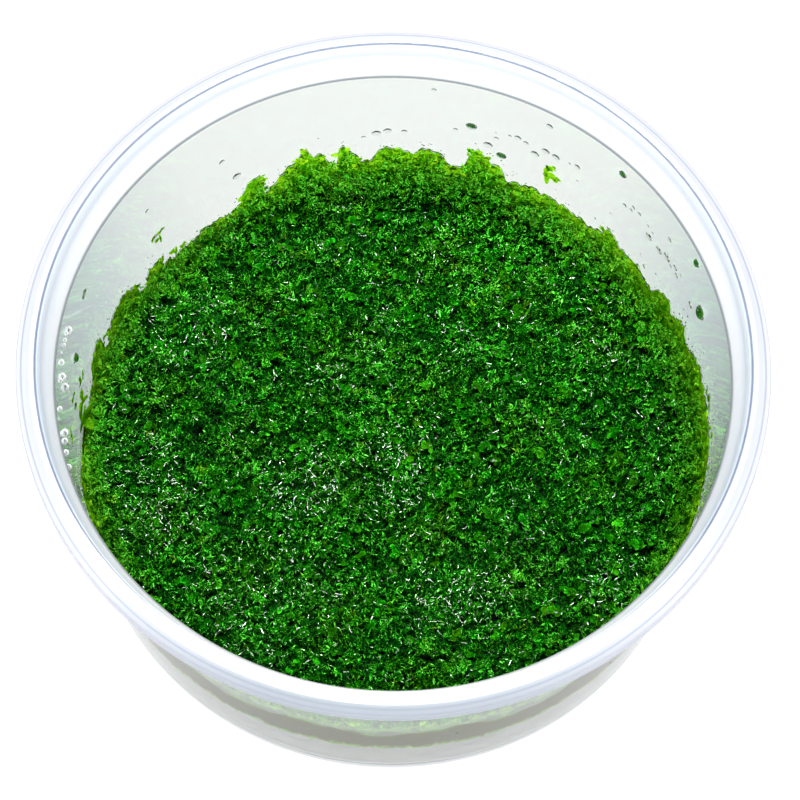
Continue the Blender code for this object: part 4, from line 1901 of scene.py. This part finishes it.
@dataclass
class WallDrops:
    """Drops of water on the inside of the wall, placed where the photograph shows them.

    A drop is a cap of a sphere that meets the wall at the contact angle w. At a share q of the way from its
    crown to its edge it has the radius r = a sin(q w) / sin(w) and the height a (cos(q w) - cos w) / sin(w).
    The wall draws a small one flat, so that it has the height 0.24 (a - r^6 / a^5).
    """

    cup: CupShape
    camera: PhotoCamera
    metre_px: float = 0.155 * MM
    contact_deg: float = 66.0
    small_px: float = 4.2
    flat_height: float = 0.24
    flat_size: float = 1.3
    pearl_contact_deg: float = 78.0
    rings: int = 7
    spokes: int = 20
    mist_rings: int = 2
    mist_spokes: int = 7
    mist_above: float = 0.3 * MM
    mist_reach: float = 1.5 * MM
    mist_least: float = 0.05 * MM
    mist_more: float = 0.13 * MM
    air_gap: float = 0.015 * MM
    shown_px: Table = (
        (363.5, 137.3, 1.8), (376.3, 133.3, 3.6), (387.5, 130.7, 3.2), (404.3, 131.5, 2.4),
        (455.6, 129.4, 1.8), (471.4, 126.1, 5.4), (434, 90, 2), (488, 145, 3.8), (496.2, 138.4, 2),
        (495.9, 132.8, 0.8), (501.3, 155.5, 5.1), (509.9, 136.1, 1.5), (517.9, 137.9, 2.8),
        (525.8, 143, 2.2), (534.9, 153.9, 3.4), (545.7, 151.4, 3.3), (555.9, 157.2, 3.2),
        (549.7, 126.4, 2.8), (569.6, 163.6, 1.2), (577.3, 166.9, 2.6), (577, 180.7, 1), (623, 174.1, 4.5),
        (624.7, 205.2, 2), (633.4, 207.5, 1.8), (631.1, 210, 1.6), (639.5, 214.1, 1.9), (610.2, 213.4, 0.9),
        (648.2, 226, 1.3), (648.9, 236.6, 3.4), (652.6, 233, 1.2), (658.9, 250.2, 3.4), (666.8, 257.1, 3.9),
        (670.6, 265.8, 1.6), (675.3, 267.8, 2.5), (676.5, 275.4, 2.2), (680.6, 275.2, 1.2),
        (669.8, 239.6, 2.2), (697, 263.2, 4.6), (690.3, 304.8, 2.8), (701, 312.5, 7.4), (237, 176, 3.6),
        (222, 162, 2.4), (147, 211, 1.8), (155, 238, 4), (84, 294, 4), (75, 358, 5.2),
    )
    pearls_px: Table = (
        (69, 330, 3.8), (66, 333, 2.4), (65, 340, 2.2), (64, 345.3, 2.2), (61.5, 352.5, 1.2),
        (61.5, 362.5, 3.2), (62.5, 377, 4.2), (60.5, 380.5, 2.6), (65.3, 387.5, 4.4), (60, 409, 2.8),
        (58.5, 419, 1.2), (65, 433, 4.2), (65, 441, 3.4), (66, 453, 3.4), (69, 467, 3),
    )
    mist: int = 450
    bead: float = 0.12 * MM
    bead_steps: int = 1440
    seed: int = 5

    def _domes(
        self, turn: Array, height: Array, size: Array, rings: int, spokes: int, contact_deg: float,
        flat: bool = False
    ) -> Surface:
        """Closed caps on the wall.

        Args:
            turn: The azimuth of each drop.
            height: Its height above the table.
            size: Its radius.
            rings: Rings of points between its edge and its crown.
            spokes: Points in each ring.
            contact_deg: The angle at which it meets the wall.
            flat: Whether it is drawn flat.

        Returns:
            All the caps as one surface.
        """
        contact = math.radians(contact_deg)
        share = np.linspace(1.0, 0.0, rings + 1)[:-1] * contact
        reach = np.sin(share) / math.sin(contact)
        lift = (np.cos(share) - math.cos(contact)) / math.sin(contact)
        crown = (1.0 - math.cos(contact)) / math.sin(contact)
        if flat:
            crown = self.flat_height
            lift = crown * (1.0 - reach**6)
        around = polar(reach[:, None], circle(spokes), np.repeat(lift[:, None], spokes, 1)).reshape(-1, 3)
        local = np.concatenate([around, [(0.0, 0.0, crown), (0.0, 0.0, 0.0)]])
        across, along, off = np.moveaxis(local * size[:, None, None], -1, 0)
        azimuth = turn[:, None] - across / self.cup.inner_radius(height)[:, None]
        points = self.cup.near_wall(azimuth, height[:, None] + along, off + self.air_gap)
        step = np.arange(spokes)
        after, last, top = (step + 1) % spokes, (rings - 1) * spokes, rings * spokes
        crown_fan = np.stack([last + step, last + after, np.full(spokes, top)], -1)
        base_fan = np.stack([after, step, np.full(spokes, top + 1)], -1)
        pattern = np.concatenate([bands(rings, spokes), crown_fan, base_fan])
        return Surface.repeated(points, pattern).outward()

    def build(self, growth: WallGrowth, water: Material, pearl: Material) -> list[Piece]:
        """Makes the drops that the photograph shows, and the fine mist just above the moss.

        Args:
            growth: The moss on the wall, for the height of its edge.
            water: The water.
            pearl: The water of the small high drops.

        Returns:
            The drops and the mist.
        """
        full = self.rings, self.spokes
        table = np.array(self.shown_px)
        turn, height = self.camera.on_wall(table[:, :2], self.cup)
        small = table[:, 2] < self.small_px
        size = table[:, 2] * self.metre_px
        size = np.where(small, self.flat_size * size, size)
        drops = Surface.joined([
            self._domes(turn[few], height[few], size[few], *full, self.contact_deg, flat)
            for few, flat in ((~small, False), (small, True))
        ])
        table = np.array(self.pearls_px)
        turn, height = self.camera.on_wall(table[:, :2], self.cup)
        size = table[:, 2] * self.metre_px * math.sin(math.radians(self.pearl_contact_deg))
        pearls = self._domes(turn, height, size, *full, self.pearl_contact_deg)
        chance = np.random.default_rng(self.seed)
        turn = chance.uniform(0.0, math.tau, self.mist)
        height = growth.edge(turn) + self.mist_above + np.abs(chance.normal(0.0, self.mist_reach, self.mist))
        size = self.mist_least + self.mist_more * chance.random(self.mist) ** 2
        fine = self._domes(turn, height, size, self.mist_rings, self.mist_spokes, self.contact_deg)
        return [
            drops.piece("water_drops", water),
            pearls.piece("water_pearls", pearl),
            fine.piece("water_mist", water),
            self._bead(growth).piece("water_edge", water),
        ]

    def _bead(self, growth: WallGrowth) -> Surface:
        """The line of water that the wall holds along the moss's edge.

        Across the line the angle w goes from 0 to 180 degrees, at the height edge + b cos w and b sin w off
        the wall, with b its half width, which swells and thins along the line.

        Args:
            growth: The moss on the wall, for the height of its edge.

        Returns:
            The line, closed round the wall.
        """
        turn = circle(self.bead_steps)
        half = self.bead * (1.0 + ripples(turn, (0.35, 23, 0), (0.25, 61, 2)))
        across = np.linspace(0.0, math.pi, 6)[:, None]
        v = growth.edge(turn) + half * np.cos(across)
        return looped(self.cup.near_wall(turn, v, self.air_gap + half * np.sin(across)))


# The studio


@dataclass(frozen=True)
class Lamp:
    """One rectangular lamp: its size, where it hangs, what it points at and how bright its face is."""

    name: str
    width: float
    depth: float
    spot: Triple
    radiance: float
    mirrored: bool = False
    aim: Triple = (0.0, 0.0, 0.02)

    def hang(self) -> None:
        """Makes the lamp, with the power pi times its area times its radiance."""
        data = bpy.data.lights.new(self.name, "AREA")
        data.shape = "RECTANGLE"
        data.size = self.width
        data.size_y = self.depth
        data.energy = math.pi * self.width * self.depth * self.radiance
        lamp = bpy.data.objects.new(self.name, data)
        lamp.location = self.spot
        away = Vector(self.aim) - Vector(self.spot)
        lamp.rotation_euler = away.to_track_quat("-Z", "Y").to_euler()
        lamp.visible_glossy = self.mirrored
        bpy.context.scene.collection.objects.link(lamp)


@dataclass(frozen=True)
class Studio:
    """A pale light table in a dim room, under a wide softbox with a small bright panel in front of it."""

    floor_side: float = 6.0
    floor_drop: float = 0.05 * MM
    room: Triple = (0.66, 0.71, 0.82)
    room_strength: float = 0.10
    softbox: Lamp = Lamp("softbox", 0.50, 0.40, (0.0, 0.23, 0.68), 2.2)
    panel: Lamp = Lamp("bright_panel", 0.13, 0.09, (-0.02, 0.205, 0.64), 140.0, mirrored=True)
    fill: Lamp = Lamp("front_fill", 0.60, 0.40, (0.0, -0.80, 0.42), 16.0)
    diffuse_bounces: int = 2
    most_bounces: int = 8

    def build(self, floor_material: Material) -> None:
        """Makes the floor, the room's light and the lamps.

        Args:
            floor_material: The table's top.
        """
        half = self.floor_side / 2
        mesh = bpy.data.meshes.new("pale_floor")
        corners = [(-half, -half, 0.0), (half, -half, 0.0), (half, half, 0.0), (-half, half, 0.0)]
        mesh.from_pydata(corners, [], [(0, 1, 2, 3)])
        mesh.materials.append(floor_material)
        floor = bpy.data.objects.new("pale_floor", mesh)
        floor.location.z = -self.floor_drop
        scene = bpy.context.scene
        scene.collection.objects.link(floor)
        world = bpy.data.worlds.new("dim_room")
        world.use_nodes = True
        background = world.node_tree.nodes["Background"]
        background.inputs["Color"].default_value = (*self.room, 1.0)
        background.inputs["Strength"].default_value = self.room_strength
        scene.world = world
        for lamp in (self.softbox, self.panel, self.fill):
            lamp.hang()
        scene.view_settings.view_transform = "Standard"
        scene.view_settings.look = "None"
        scene.cycles.diffuse_bounces = self.diffuse_bounces
        scene.cycles.max_bounces = self.most_bounces


def main() -> None:
    """Builds the camera, the studio, the cup, the gel, the moss and the drops, in that order."""
    logging.basicConfig(level=logging.INFO, format="%(name)s: %(message)s")
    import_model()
    cup_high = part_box(Node.CUP.value)[1]
    gel_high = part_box(Node.GEL.value)[1]
    camera = PhotoCamera()
    camera.place()
    studio = Studio()
    studio.build(PaleFloor().make())
    cup = CupShape(rim_radius=cup_high.x, height=cup_high.z)
    cup.build(ClearPlastic().make())
    GelBed(cup, top=gel_high.z).build(ClearGel().make())
    mat = MatShape(cup, gel_top=gel_high.z)
    carpet = MossCarpet(mat)
    carpet.build_bed(MossBed().make())
    carpet.build_fronds(MossLeaf("moss_leaf").make())
    broad_leaf = MossLeaf("moss_broad_leaf", mottle=0.8, lift=-0.14, painted_edge_highlight=0.3, wet=0.4)
    BroadThalli(mat).build(broad_leaf.make())
    WetLobes(mat, camera, studio.panel.spot).build(MossLeaf("moss_wet_leaf", soaked=True).make())
    growth = WallGrowth(mat)
    side_leaf = MossLeaf("moss_side_leaf", see_through=0.10, edge_highlight_yellow=0.2, lift=0.0, mottle=1.6, wet=0.0)
    growth.build_side(side_leaf.make())
    # The old growth is painted dark brown, partly as the shade on the moss's side against the near wall
    old_leaf_and_shade = MossLeaf(
        "moss_old_leaf", see_through=0.06, edge_highlight_yellow=0.0, mottle=0.5, lift=-0.10, wet=0.0,
        dark=(0.010, 0.012, 0.0), middle=(0.085, 0.095, 0.002), light=(0.06, 0.56, 0.01),
        pale=(0.20, 0.92, 0.02), yellow=(0.48, 0.70, 0.01),
    )
    growth.build_underside(old_leaf_and_shade.make())
    growth.build_slope(MossLeaf("moss_slope_leaf", see_through=0.22, edge_highlight_yellow=0.25, lift=-0.14).make())
    wall_leaf = MossLeaf(
        "moss_wall_leaf", see_through=0.48, edge_highlight_yellow=0.35, mottle=2.3, lift=-0.12, wet=0.3,
        dark=(0.002, 0.05, 0.0), middle=(0.02, 0.26, 0.001), light=(0.08, 0.68, 0.004),
        pale=(0.48, 0.96, 0.05), yellow=(0.56, 1.0, 0.02), green_glow=(0.46, 0.95, 0.06),
        yellow_glow=(0.74, 1.0, 0.08),
    ).make()
    growth.build_film(wall_leaf)
    growth.build_lobes(wall_leaf)
    growth.build_fragments(camera, wall_leaf)
    WallDrops(cup, camera).build(growth, Water().make(), Water("pearl_water", pearl=0.9).make())
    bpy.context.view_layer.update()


if __name__ == "__main__":
    main()
